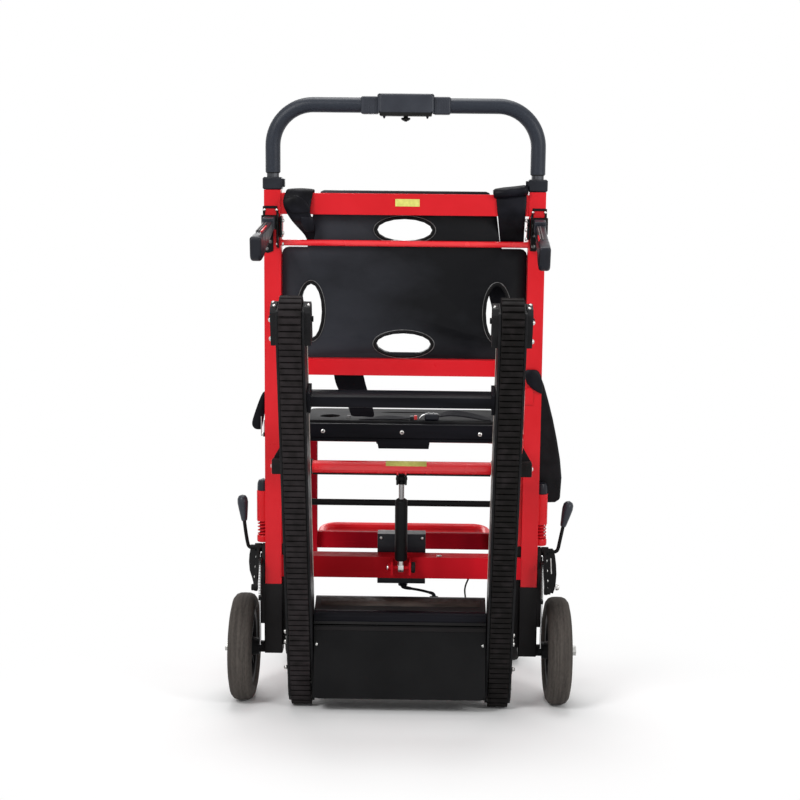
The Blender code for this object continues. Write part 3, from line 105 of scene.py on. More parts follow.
def addLamps():
    for name, setup in lampSetup.items():
        data = bpy.data.lights.new(name, "AREA")
        data.shape = "SQUARE"
        data.size = setup["size"]
        data.energy = setup["power"]
        made = placeObject(name, data)
        made.location = setup["place"]
        aim = Vector((0, 0, 0.5)) - Vector(setup["place"])
        made.rotation_euler = aim.to_track_quat("-Z", "Y").to_euler()


def seenOf(tree):
    # one where the camera or a mirror image looks, and the light path it was read from
    path = addNode(tree, "LightPath")
    seen = {0: path.outputs["Is Camera Ray"], 1: path.outputs["Is Glossy Ray"]}
    return addNode(tree, "Math", seen, operation="MAXIMUM").outputs[0], path


def addWorld():
    sky = bpy.data.worlds.new("studio")
    bpy.context.scene.world = sky
    sky.use_nodes = True
    tree = sky.node_tree
    seen, path = seenOf(tree)
    through = addNode(tree, "Math", {0: seen, 1: path.outputs["Is Transmission Ray"]}, operation="MAXIMUM")
    strength = addNode(tree, "MapRange", {"Value": through.outputs[0], "To Min": worldLight, "To Max": 1})
    light = tree.nodes["Background"]
    light.inputs["Color"].default_value = (1, 1, 1, 1)
    tree.links.new(strength.outputs["Result"], light.inputs["Strength"])


def addFloor():
    # grey where the shadow falls, fading to plain white
    mesh = bmesh.new()
    bmesh.ops.create_circle(mesh, cap_ends=True, segments=64, radius=floorSetup["radius"])
    data = bpy.data.meshes.new("floor")
    mesh.to_mesh(data)
    mesh.free()
    look = bpy.data.materials.new("pale floor")
    look.use_nodes = True
    tree = look.node_tree
    plain = tree.nodes["Principled BSDF"]
    plain.inputs["Base Color"].default_value = (*[floorSetup["grey"]] * 3, 1)
    plain.inputs["Roughness"].default_value = 0.9
    plain.inputs["Specular IOR Level"].default_value = 0.1
    bright = addNode(tree, "Emission", {"Strength": 1})
    place = addNode(tree, "TexCoord").outputs["Object"]
    reach = addNode(tree, "VectorMath", {0: place}, operation="LENGTH").outputs["Value"]
    fade = addNode(tree, "MapRange", {"Value": reach, "From Min": floorSetup["shadowEnds"],
                                      "From Max": floorSetup["whiteFrom"]}, interpolation_type="SMOOTHSTEP")
    both = addNode(tree, "Math", {0: fade.outputs["Result"], 1: seenOf(tree)[0]}, operation="MULTIPLY")
    mixed = addNode(tree, "MixShader", {"Fac": both.outputs[0], 1: plain.outputs[0], 2: bright.outputs[0]})
    tree.links.new(mixed.outputs[0], tree.nodes["Material Output"].inputs["Surface"])
    data.materials.append(look)
    made = placeObject("floor", data)


addCamera()
addLamps()
addWorld()
addFloor()
bpy.context.scene.view_settings.view_transform = "Standard"
print("camera, lamps and floor ready")


# Finishes: a pattern is a function that adds its nodes to a tree and gives their output

def noise(scale, detail=3, stretch=(1, 1, 1)):
    def build(tree):
        place = addNode(tree, "TexCoord").outputs["Object"]
        sized = addNode(tree, "Mapping", {"Vector": place, "Scale": stretch}).outputs[0]
        return addNode(tree, "TexNoise", {"Vector": sized, "Scale": scale, "Detail": detail}).outputs["Fac"]
    return build


def cells(scale):
    def build(tree):
        place = addNode(tree, "TexCoord").outputs["Object"]
        return addNode(tree, "TexVoronoi", {"Vector": place, "Scale": scale}, feature="SMOOTH_F1").outputs["Distance"]
    return build


def bands(scale, direction, source="UV"):
    def build(tree):
        place = addNode(tree, "TexCoord").outputs[source]
        return addNode(tree, "TexWave", {"Vector": place, "Scale": scale}, bands_direction=direction).outputs["Fac"]
    return build


def fromLeft(factor):
    # the piece's own left to right place, scaled, for shade painted darker towards one side
    def build(tree):
        parts = addNode(tree, "SeparateXYZ", {0: addNode(tree, "TexCoord").outputs["Object"]})
        return addNode(tree, "Math", {0: parts.outputs["X"], 1: factor}, operation="MULTIPLY").outputs[0]
    return build


def joined(operation, first, second):
    def build(tree):
        inputs = {i: part(tree) if callable(part) else part for i, part in enumerate((first, second))}
        return addNode(tree, "Math", inputs, operation=operation).outputs[0]
    return build


def finish(name, slotName, roughness, specular, colour, spread=None, bumps=(), metallic=0, more=None):
    # colour: pattern, dark, light and where the ramp starts and ends; spread: pattern, smooth and rough end
    made = bpy.data.materials.new(name)
    made.use_nodes = True
    made["slotName"] = slotName
    tree = made.node_tree
    shader = tree.nodes["Principled BSDF"]
    pattern, dark, light, low, high = (*colour, 0.35, 0.65)[:5]
    fixed = {"Base Color": (*light, 1), "Roughness": roughness, "Metallic": metallic, "Specular IOR Level": specular}
    for socket, value in {**fixed, **(more or {})}.items():
        shader.inputs[socket].default_value = value
    ramp = addNode(tree, "ValToRGB", {"Fac": pattern(tree)})
    for element, position, shade in zip(ramp.color_ramp.elements, (low, high), (dark, light)):
        element.position = position
        element.color = (*shade, 1)
    tree.links.new(ramp.outputs["Color"], shader.inputs["Base Color"])
    if spread:
        pattern, smooth, rough = spread
        mapped = addNode(tree, "MapRange", {"Value": pattern(tree), "From Min": 0.3, "From Max": 0.7,
                                            "To Min": smooth, "To Max": rough})
        tree.links.new(mapped.outputs["Result"], shader.inputs["Roughness"])
    for pattern, strength, distance in bumps:
        relief = addNode(tree, "Bump", {"Height": pattern(tree), "Strength": strength, "Distance": distance})
        for earlier in shader.inputs["Normal"].links:
            tree.links.new(earlier.from_socket, relief.inputs["Normal"])
        tree.links.new(relief.outputs["Normal"], shader.inputs["Normal"])
    return made


def powderCoat(name, slotName, gloss, specular, colour, bumps=(), coat=None):
    more = {"Coat Weight": coat[0], "Coat Roughness": coat[1]} if coat else None
    return finish(name, slotName, gloss, specular, colour, (noise(40, 5), gloss - 0.05, gloss + 0.08),
                  [(noise(750, 2), 0.12, 0.0004), *bumps], 0, more)


def shadedRed(name, dark, light, tilt=0):
    # the same coat where it lies in the chair's shade
    # broad streaks of painted shade, shifted across the chair by the tilt
    shadePattern = joined("ADD", noise(5, 3, (1, 0.2, 0.2)), fromLeft(tilt))
    return powderCoat(name, "red", 0.5, 0.04, (shadePattern, dark, light, 0.38, 0.62))


def blackPaint(name, dark, light):
    return powderCoat(name, "black_steel", 0.45, 0.11, (noise(9, 4), dark, light), [(cells(1400), 0.15, 0.0003)])


def shinyPlastic(name, specular, roughness, dark, light):
    return finish(name, "plastic", roughness, specular, (noise(25, 4), dark, light), (noise(60), 0.28, 0.42),
                  [(cells(1500), 0.2, 0.0003)])


def metal(name, slotName, dark, light, low, high):
    brushed = noise(160, 4, (1, 1, 0.08))
    return finish(name, slotName, low, 0.5, (brushed, dark, light), (brushed, low, high), metallic=1)


red = powderCoat("red powder coat", "red", 0.32, 0.14, (noise(9, 4), (0.6, 0.007, 0.013), (0.67, 0.012, 0.02)),
                 coat=(0.12, 0.12))
# front legs and plunger cores get the red coat darkened as painted shade
paintedShadeRed = shadedRed("shaded red coat", (0.2, 0.002, 0.008), (0.48, 0.006, 0.016))
# the lower crossbar's red with painted shade, darker towards the chair's left
shadedBarRed = shadedRed("lower bar red coat with painted shade", (0.3, 0.004, 0.008), (0.62, 0.01, 0.02), 1.2)
glossRed = powderCoat("glossy red coat", "red", 0.22, 0.4, (noise(9, 4), (0.78, 0.014, 0.022), (0.86, 0.026, 0.034)),
                      coat=(0.4, 0.08))
black = blackPaint("black powder coat", (0.0035, 0.0035, 0.004), (0.0065, 0.0065, 0.007))
sleeveBlack = blackPaint("worn black coat", (0.0085, 0.0075, 0.008), (0.0125, 0.0115, 0.012))
# the lid's black coat painted lighter than the frame's, for the highlight on its rounded band: painted highlight
litLidBlack = blackPaint("lid black coat with painted light", (0.01, 0.0097, 0.01), (0.018, 0.0175, 0.018))
boxPlastic = shinyPlastic("blue black plastic", 0.3, 0.34, (0.02, 0.023, 0.032), (0.03, 0.034, 0.045))
plastic = shinyPlastic("black plastic", 0.2, 0.38, (0.008, 0.009, 0.013), (0.014, 0.016, 0.022))
seatBlack = finish("black seat board", "panel", 0.62, 0.02,
                   (noise(10, 5), (0.004, 0.004, 0.005), (0.02, 0.02, 0.021)), None, [(cells(620), 0.2, 0.0004)])
# broad cloudy patches of painted sheen and painted shade, darker towards the chair's right
board = finish("moulded black board with painted sheen", "panel", 0.4, 0.16,
               (joined("ADD", noise(5.5, 5, (1, 1, 1.6)), fromLeft(-1.3)), (0.0012, 0.0014, 0.0026),
                (0.032, 0.034, 0.043), 0.34, 0.92),
               (noise(30, 4, (1, 1, 4)), 0.3, 0.48), [(cells(620), 0.22, 0.0004), (noise(9), 0.35, 0.004)])
nylon = finish("black nylon", "rim_plastic", 0.5, 0.12, (noise(30, 4), (0.006, 0.006, 0.007), (0.012, 0.012, 0.013)),
               None, [(cells(1100), 0.2, 0.0003)])
foam = finish("black foam", "foam", 0.4, 0.3, (noise(500, 4), (0.009, 0.012, 0.02), (0.016, 0.021, 0.032)),
              (noise(20), 0.32, 0.46), [(noise(1600), 0.35, 0.0005)])
# the belts painted darker on the chair's right than on its left: painted shade
beltBlack = finish("black belt rubber", "belt", 0.7, 0.1,
                   (joined("ADD", noise(60, 8), fromLeft(-0.7)), (0.006, 0.0052, 0.005), (0.021, 0.0175, 0.0185),
                    0.35, 0.72), (noise(120, 4), 0.6, 0.82), [(noise(900, 4), 0.3, 0.0004)])
specks, worn = noise(420, 6, (1, 0.35, 0.35)), noise(16, 6, (12, 0.6, 0.6))
tyreGrey = finish("dusty grey tyre", "tyre", 0.85, 0.12,
                  (joined("ADD", joined("MULTIPLY", specks, 0.35), joined("MULTIPLY", worn, 0.65)),
                   (0.04, 0.035, 0.032), (0.082, 0.072, 0.064), 0.34, 0.66),
                  None, [(specks, 0.25, 0.0005), (worn, 0.12, 0.0006)])
rubber = finish("black rubber", "rubber", 0.6, 0.12, (noise(40, 5), (0.006, 0.006, 0.006), (0.013, 0.013, 0.013)),
                None, [(noise(700), 0.25, 0.0003)])
zinc = metal("bright zinc", "bare_metal", (0.42, 0.42, 0.41), (0.66, 0.65, 0.63), 0.24, 0.42)
tubeGrey = metal("dark tube", "tube_metal", (0.05, 0.052, 0.058), (0.09, 0.093, 0.1), 0.35, 0.5)
rodChrome = metal("dull chromed rod", "bare_metal", (0.26, 0.25, 0.25), (0.36, 0.35, 0.35), 0.16, 0.3)
chrome = metal("chromed steel", "bare_metal", (0.6, 0.6, 0.61), (0.78, 0.78, 0.79), 0.12, 0.24)
# also the pale ring round the back board's holes, a painted highlight
wornGreyAndHighlight = metal("worn grey metal and painted highlight", "tube_metal", (0.1, 0.1, 0.1), (0.2, 0.2, 0.2), 0.4, 0.6)
rail = finish("black anodised rail", "rail", 0.32, 0.07,
              (noise(50, 4, (0.1, 1, 1)), (0.003, 0.003, 0.0045), (0.007, 0.007, 0.01)),
              (noise(200, 3, (0.05, 1, 1)), 0.28, 0.42))
alloy = finish("black track frame", "track_alloy", 0.45, 0.15,
               (noise(30, 5), (0.005, 0.005, 0.006), (0.011, 0.011, 0.012)), (noise(90, 4), 0.38, 0.55),
               [(noise(900, 2), 0.1, 0.0003)])
weave = joined("MAXIMUM", joined("MULTIPLY", bands(130, "X"), 0.8), bands(210, "Y"))
webbing = finish("black webbing", "webbing", 0.7, 0.04, (weave, (0.003, 0.003, 0.004), (0.01, 0.01, 0.013), 0.1, 0.9),
                 None, [(weave, 0.5, 0.0005), (noise(30), 0.5, 0.004)])
threads = joined("MAXIMUM", bands(260, "X", "Object"), bands(260, "Z", "Object"))
padCloth = finish("black padded cloth", "webbing", 0.6, 0.12,
                  (noise(35, 6), (0.005, 0.005, 0.006), (0.01, 0.01, 0.012)), None,
                  [(threads, 0.3, 0.0003), (noise(28, 4), 0.4, 0.004)], 0, {"Sheen Weight": 0.04})
creased = finish("creased black cloth", "webbing", 0.42, 0.1,
                 (noise(20, 4), (0.001, 0.001, 0.002), (0.008, 0.008, 0.012)), None,
                 [(noise(900), 0.15, 0.0003), (noise(26, 1), 0.9, 0.009)])
label = finish("yellow label", "panel", 0.5, 0.5, (noise(200, 4), (0.62, 0.6, 0.13), (0.72, 0.7, 0.17)), None,
               [(noise(900, 2), 0.1, 0.0002)])
buttonRed = finish("red button", "button", 0.35, 0.5, (noise(300), (0.5, 0.015, 0.015), (0.62, 0.03, 0.03)))
# a pale strip standing for the bright reflection on the track frame's inner face: painted reflection
paintedReflection = finish("pale painted reflection", "belt", 0.8, 0.2, (noise(120, 5), (0.36, 0.31, 0.27), (0.62, 0.56, 0.5)), None,
              [(noise(600), 0.3, 0.0003)])
lidBrown = finish("worn lid sheet", "black_steel", 0.55, 0.15,
                  (noise(26, 8, (1, 3, 3)), (0.018, 0.0135, 0.012), (0.06, 0.045, 0.039), 0.3, 0.75),
                  (noise(80, 5), 0.42, 0.7), [(noise(600, 4), 0.3, 0.0004)])
print("finishes ready")


# Making pieces

weldWithin, flatWithin = 0.000004, radians(0.6)


def addPiece(name, mesh, look, body="chassis", replaced=(), place=world, smooth=40, edge=0, segments=2, angle=35):
    # edge is the width of the rounding of every edge sharper than the angle
    bmesh.ops.transform(mesh, matrix=place, verts=mesh.verts)
    data = bpy.data.meshes.new(name)
    mesh.to_mesh(data)
    mesh.free()
    made = dress(placeObject(name, data), look, body, replaced)
    data.shade_smooth()
    data.set_sharp_from_angle(angle=radians(smooth))
    if edge:
        bevel = made.modifiers.new("round edges", "BEVEL")
        bevel.width = edge
        bevel.segments = segments
        bevel.limit_method = "ANGLE"
        bevel.angle_limit = radians(angle)
        bevel.harden_normals = True
    return made


def leanPiece(name, mesh, look, body="chassis", replaced=(), **more):
    return addPiece(name, mesh, look, body, replaced, leaning, **more)


def dress(made, look, body, replaced=()):
    made.data.materials.append(look)
    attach(made, body)
    if replaced:
        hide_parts(*replaced)
    return made


def thicken(made, thick, offset=0):
    wall = made.modifiers.new("thickness", "SOLIDIFY")
    wall.thickness = thick
    wall.offset = offset


def packedMesh(node):
    mesh = bmesh.new()
    mesh.from_mesh(frame["nodes"][node].data)
    bmesh.ops.remove_doubles(mesh, verts=mesh.verts, dist=weldWithin)
    return mesh


def easedCopy(node, look):
    mesh = packedMesh(node)
    bmesh.ops.dissolve_limit(mesh, angle_limit=flatWithin, verts=mesh.verts, edges=mesh.edges)
    addPiece(node + "_finished", mesh, look, bodyOf[node], (node,), edge=0.0008)


def partedCopy(node, looks, spot, normal):
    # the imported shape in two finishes, one on each side of a plane of the leaning frame
    flat = (leaning @ Vector(spot), leaning.to_3x3() @ Vector(normal))
    for look, ending, inner in zip(looks, ("_front", "_rear"), (True, False)):
        mesh = packedMesh(node)
        bmesh.ops.bisect_plane(mesh, geom=mesh.verts[:] + mesh.edges[:] + mesh.faces[:], dist=0.000001,
                               plane_co=flat[0], plane_no=flat[1], clear_outer=inner, clear_inner=not inner)
        bmesh.ops.holes_fill(mesh, edges=[e for e in mesh.edges if e.is_boundary])
        bmesh.ops.dissolve_limit(mesh, angle_limit=flatWithin, verts=mesh.verts, edges=mesh.edges)
        bmesh.ops.recalc_face_normals(mesh, faces=mesh.faces)
        addPiece(node + ending, mesh, look, bodyOf[node], (node,) if inner else (), edge=0.0008)


def boxMesh(low, high, mesh=None):
    mesh = mesh or bmesh.new()
    size = Matrix.Diagonal([b - a for a, b in zip(low, high)]).to_4x4()
    middle = Matrix.Translation([(a + b) / 2 for a, b in zip(low, high)])
    bmesh.ops.create_cube(mesh, size=1, matrix=middle @ size)
    return mesh


def sideBox(side, reach, depth, height, mesh=None):
    # a box on one side; reach, depth and height hold its two distances from the middle, its y and its z ends
    ends = sorted(side * distance for distance in reach)
    return boxMesh(*zip(ends, depth, height), mesh)


def barMesh(start, end, radius, endRadius=None, steps=32, mesh=None):
    mesh = mesh or bmesh.new()
    start, end = Vector(start), Vector(end)
    turn = Vector((0, 0, 1)).rotation_difference(end - start).to_matrix().to_4x4()
    bmesh.ops.create_cone(mesh, cap_ends=True, segments=steps, radius1=radius,
                          radius2=radius if endRadius is None else endRadius, depth=(end - start).length,
                          matrix=Matrix.Translation((start + end) / 2) @ turn)
    return mesh


def movedOut(mesh, grown, push):
    # the new corners of an extrusion
    bmesh.ops.translate(mesh, vec=push, verts=[v for v in grown if isinstance(v, bmesh.types.BMVert)])


def plateMesh(outline, low, high, axis="X"):
    across = "XYZ".index(axis)
    mesh = bmesh.new()
    corners = []
    for point in outline:
        spot = list(point)
        spot.insert(across, low)
        corners.append(mesh.verts.new(spot))
    push = Vector((0, 0, 0))
    push[across] = high - low
    movedOut(mesh, bmesh.ops.extrude_face_region(mesh, geom=[mesh.faces.new(corners)])["geom"], push)
    bmesh.ops.recalc_face_normals(mesh, faces=mesh.faces)
    return mesh


def spunMesh(profile, centre, steps=64, axis=(1, 0, 0)):
    # profile holds (distance along the axis, radius) pairs; it closes on itself unless it ends on the axis
    mesh = bmesh.new()
    ring = [mesh.verts.new((a, 0, r)) for a, r in profile]
    nextOnes = ring[1:] if profile[0][1] == 0 else ring[1:] + ring[:1]
    edges = [mesh.edges.new((a, b)) for a, b in zip(ring, nextOnes)]
    bmesh.ops.spin(mesh, geom=edges, cent=(0, 0, 0), axis=(1, 0, 0), angle=2 * pi, steps=steps, use_merge=True)
    bmesh.ops.remove_doubles(mesh, verts=mesh.verts, dist=1e-6)
    bmesh.ops.recalc_face_normals(mesh, faces=mesh.faces)
    turn = Vector((1, 0, 0)).rotation_difference(Vector(axis)).to_matrix().to_4x4()
    bmesh.ops.transform(mesh, matrix=Matrix.Translation(centre) @ turn, verts=mesh.verts)
    return mesh


def mergeMesh(target, part, place=world):
    bmesh.ops.transform(part, matrix=place, verts=part.verts)
    data = bpy.data.meshes.new("part")
    part.to_mesh(data)
    part.free()
    target.from_mesh(data)
    bpy.data.meshes.remove(data)


def addBolts(name, spots, toward, radius, high, body="chassis", place=world, look=zinc):
    # domed heads, each standing on its spot and facing the same way
    mesh = bmesh.new()
    profile = [(-0.0006, 0), (-0.0006, radius), (high * 0.4, radius), (high * 0.8, radius * 0.68), (high, 0)]
    for spot in spots:
        mergeMesh(mesh, spunMesh(profile, spot, 20, toward))
    addPiece(name, mesh, look, body, place=place, smooth=50)


def roundCorner(middle, radius, start, end, steps):
    angles = [radians(start + (end - start) * i / steps) for i in range(steps + 1)]
    return [(middle[0] + radius * cos(a), middle[1] + radius * sin(a)) for a in angles]


def smoothLine(route, perPart=10):
    spots = [Vector(p) for p in route]
    spots = [2 * spots[0] - spots[1]] + spots + [2 * spots[-1] - spots[-2]]
    line = []
    for a, b, c, d in zip(spots, spots[1:], spots[2:], spots[3:]):
        for i in range(perPart):
            t = i / perPart
            line.append(0.5 * (2 * b + (c - a) * t + (2 * a - 5 * b + 4 * c - d) * t * t
                               + (3 * b - a - 3 * c + d) * t * t * t))
    return line + [spots[-2]]


def tubePiece(name, points, radius, look, body="chassis", replaced=(), place=world, sides=8, closed=False):
    data = bpy.data.curves.new(name, "CURVE")
    data.dimensions = "3D"
    data.bevel_depth = radius
    data.bevel_resolution = sides
    data.use_fill_caps = not closed
    line = data.splines.new("POLY")
    line.points.add(len(points) - 1)
    for spot, point in zip(line.points, points):
        spot.co = (*(place @ Vector(point)), 1)
    line.use_cyclic_u = closed
    line.use_smooth = True
    return dress(placeObject(name, data), look, body, replaced)


def taperedTube(name, points, wide, narrow, look, body="chassis", sides=20):
    mesh = bmesh.new()
    side = Vector((0, 1, 0))
    rings = []
    for i, point in enumerate(points):
        ahead = (points[min(i + 1, len(points) - 1)] - points[max(i - 1, 0)]).normalized()
        side = (side - ahead * side.dot(ahead)).normalized()
        across = ahead.cross(side)
        radius = wide + (narrow - wide) * i / (len(points) - 1)
        turns = [2 * pi * k / sides for k in range(sides)]
        rings.append([mesh.verts.new(point + radius * (cos(turn) * side + sin(turn) * across)) for turn in turns])
    for a, b in zip(rings, rings[1:]):
        for k in range(sides):
            mesh.faces.new((a[k], a[(k + 1) % sides], b[(k + 1) % sides], b[k]))
    mesh.faces.new(rings[0][::-1])
    mesh.faces.new(rings[-1])
    bmesh.ops.recalc_face_normals(mesh, faces=mesh.faces[:])
    return addPiece(name, mesh, look, body)


def ribbonPiece(name, stations, look, thick=0.0024, crown=0, body="chassis", place=leaning, replaced=()):
    # each station is the strap's left and right point; the cloth runs from the first to the last
    across = 4
    mesh = bmesh.new()
    uvLayer = mesh.loops.layers.uv.new("UVMap")
    rows = []
    for left, right in stations:
        left, right = Vector(left), Vector(right)
        rows.append([left.lerp(right, i / across) for i in range(across + 1)])
    lengths = [0.0]
    for a, b in zip(rows, rows[1:]):
        lengths.append(lengths[-1] + (b[across // 2] - a[across // 2]).length)
    grid = [[mesh.verts.new(p) for p in row] for row in rows]
    for j in range(len(grid) - 1):
        for i in range(across):
            face = mesh.faces.new((grid[j][i], grid[j][i + 1], grid[j + 1][i + 1], grid[j + 1][i]))
            wide = (rows[j][across] - rows[j][0]).length
            corners = ((i, j), (i + 1, j), (i + 1, j + 1), (i, j + 1))
            for loop, (a, b) in zip(face.loops, corners):
                loop[uvLayer].uv = (wide * a / across, lengths[b])
    mesh.normal_update()
    if crown:
        for row in grid:
            for i, vert in enumerate(row):
                vert.co += vert.normal * crown * sin(pi * i / across)
    made = addPiece(name, mesh, look, body, replaced, place, 180)
    thicken(made, thick)
    finer = made.modifiers.new("subdivide", "SUBSURF")
    finer.levels = finer.render_levels = 2
    return made


# Leads

lead = {"gland": (0.003, 0.0335, 0.213), "lid": (0.062, 0.016), "top": 0.196, "radius": 0.0025}


def addLead():
    # the drive lead between the control unit and the lid, with a bent relief at each end
    x, y = lead["lid"]
    end = lead["top"]
    gland = Vector(lead["gland"])
    start = leaning @ (gland - Vector((0, 0, 0.0003)))
    below = leaning @ (gland - Vector((0, 0, 0.002)))
    route = smoothLine([below, (0.0085, below.y, end + 0.015), (0.02, below.y, end + 0.013),
                        (0.035, y + 0.003, end + 0.011), (x - 0.013, y + 0.001, end + 0.0082),
                        (x - 0.003, y, end + 0.0055), (x, y, end + 0.002)], 8)
    route = [start] + route + [Vector((x, y, end + 0.0003))]
    cord = tubePiece("drive_lead", route, lead["radius"], rubber, "chassis", ("drive_cable",), world, 6)
    taperedTube("lead_relief_unit", [Vector(p) for p in route[:17]], 0.0042, 0.003, plastic)
    taperedTube("lead_relief_lid", [Vector(p) for p in route[-15:][::-1]], 0.0036, 0.0029, plastic)


def addThinLead():
    # a thin cable from below the lower crossbar to the lid's front slope
    route = smoothLine([(0.1262, -0.003, 0.2412), (0.1257, -0.002, 0.233), (0.1217, 0.004, 0.2215),
                        (0.1199, 0.01, 0.2095), (0.1213, 0.015, 0.1955), (0.1228, 0.018, 0.1812)], 8)
    radius = 0.0016
    cord = tubePiece("thin_lead", route, radius, rubber, "chassis", (), world, 4)
    taperedTube("thin_relief_bar", [Vector(p) for p in route[:7]], 0.0027, 0.0019, rubber, sides=16)
    taperedTube("thin_relief_lid", [Vector(p) for p in route[-6:][::-1]], 0.0027, 0.0019, rubber, sides=16)


addLead()
addThinLead()
print("lead ready")


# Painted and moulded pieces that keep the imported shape, with their edges rounded

easedNodes = {
    red: ("top_crossbar", "middle_crossbar", "seat_frame"),
    paintedShadeRed: ("front_legs",),
    shadedBarRed: ("lower_crossbar",),
    glossRed: ("push_bar",),
    black: ("drive_casing", "rear_cover", "brace"),
    litLidBlack: ("casing_lid",),
    sleeveBlack: ("sleeve_left", "sleeve_right"),
    board: ("backrest_panel",),
    seatBlack: ("seat_panel",),
    plastic: ("collar_left", "collar_right", "junction_box"),
    rail: ("seat_rear_rail", "upper_bar"),
    alloy: ("track_frame_left", "track_frame_right"),
    zinc: ("caster_fork_left", "caster_fork_right"),
}
keptNodes = {
    zinc: ("drive_shaft", "drive_motor"),
    tubeGrey: ("handle_tube",),
    nylon: ("idler_left", "idler_right"),
    plastic: ("battery_pack",),
}
for look, nodes in easedNodes.items():
    for node in nodes:
        easedCopy(node, look)
for look, nodes in keptNodes.items():
    for node in nodes:
        for place in frame["nodes"][node].material_slots:
            place.material = look
for node in ("upright_left", "upright_right"):
    partedCopy(node, (red, black), (0, -0.0153, 0), (0, -1, 0))
print("frame, boards and covers dressed")


# Push handle

handle = {"half": 0.237, "top": 1.1025, "bend": 0.0725, "gripEnd": 0.983, "gripRadius": 0.0135}


def handleLine(foot):
    side, straight = handle["half"] - handle["bend"], handle["top"] - handle["bend"]
    bend = roundCorner((-side, straight), handle["bend"], 180, 90, 20)
    bend += roundCorner((side, straight), handle["bend"], 90, 0, 20)
    line = [(-handle["half"], foot)] + bend + [(handle["half"], foot)]
    return [(x, 0, h) for x, h in line]


def addHandle():
    tubePiece("handle_grip_foam", handleLine(handle["gripEnd"]), handle["gripRadius"], foam, "push_handle",
              ("handle_grip",), leaning, 10)
    for name, side in sides:
        x = side * handle["half"]
        bush = spunMesh([(0, 0.0112), (0, 0.0122), (0.003, 0.0128), (0.0052, 0.0126), (0.0052, 0.0112)],
                        (x, 0, handle["gripEnd"] - 0.0016), 48, (0, 0, 1))
        leanPiece("grip_bush_" + name, bush, rubber, "push_handle", smooth=50)


controlBox = {"half": 0.0505, "depth": 0.0225, "low": 1.084, "high": 1.123, "clampEnd": 0.08}


def addControlBox():
    b = controlBox
    body = "push_handle"
    middle = (b["low"] + b["high"]) / 2
    shell = boxMesh((-0.0475, -b["depth"], b["low"] + 0.003), (0.0475, b["depth"], b["high"] - 0.0005))
    leanPiece("control_box_shell", shell, boxPlastic, body, ("control_box",), edge=0.0048, segments=6)
    base = boxMesh((-0.0465, -b["depth"] - 0.0004, b["low"]), (0.0465, b["depth"] + 0.0004, b["low"] + 0.0058))
    leanPiece("control_box_base", base, rubber, body, edge=0.0018, segments=3)
    for name, side in sides:
        cap = sideBox(side, (0.0415, b["half"]), (-b["depth"] - 0.0003, b["depth"] + 0.0003),
                      (b["low"] + 0.0042, b["high"] - 0.0004))
        leanPiece("box_cap_" + name, cap, boxPlastic, body, edge=0.0052, segments=6)
        clamp = sideBox(side, (0.048, b["clampEnd"]), (-0.0154, 0.0154), (middle - 0.0168, middle + 0.0142))
        leanPiece("clamp_block_" + name, clamp, boxPlastic, body, edge=0.004, segments=4)
        ribs = bmesh.new()
        for i in range(5):
            x = side * (0.055 + 0.0042 * i)
            boxMesh((x - 0.0007, -0.0159, middle - 0.0125), (x + 0.0007, 0.0159, middle + 0.01), ribs)
        leanPiece("clamp_ribs_" + name, ribs, boxPlastic, body, edge=0.0004)
        x = side * 0.0385
        screw = barMesh((x, 0, b["low"] + 0.001), (x, 0, b["low"] - 0.0045), 0.0034, 0.0012, 16)
        leanPiece("box_screw_" + name, screw, plastic, body)


def addSwitch():
    mesh = barMesh((0, 0, 1.0865), (0, 0, 1.08), 0.0042, steps=24)
    barMesh((0, 0, 1.0812), (0, 0, 1.0785), 0.0078, 0.0085, 12, mesh)
    barMesh((0, 0, 1.0785), (0, 0, 1.0755), 0.0085, 0.0045, 12, mesh)
    barMesh((0, 0, 1.076), (0, 0, 1.0742), 0.003, 0.0022, 12, mesh)
    leanPiece("power_switch_cap", mesh, rubber, "switch", ("power_switch",))


addHandle()
addControlBox()
addSwitch()
print("push handle ready")


# Pull rod and carrying arms

def addPullRod():
    line = [(x, -0.004, 0.858) for x in (-0.2235, 0.2235)]
    tubePiece("pull_rod_bar", line, 0.0055, glossRed, "release_rod", ("pull_rod",), leaning, 8)


liftArm = {
    "x": 0.24, "pivot": (-0.0318, 0.8932), "length": 0.178,
    "drop": {"left": 13.4, "right": 17.6},
    "lean": {"left": -2.2, "right": -0.8},
    "strip": {"left": (0.002, 0.0052, -0.128, -0.07), "right": (-0.009, -0.0066, -0.128, -0.098)},
}


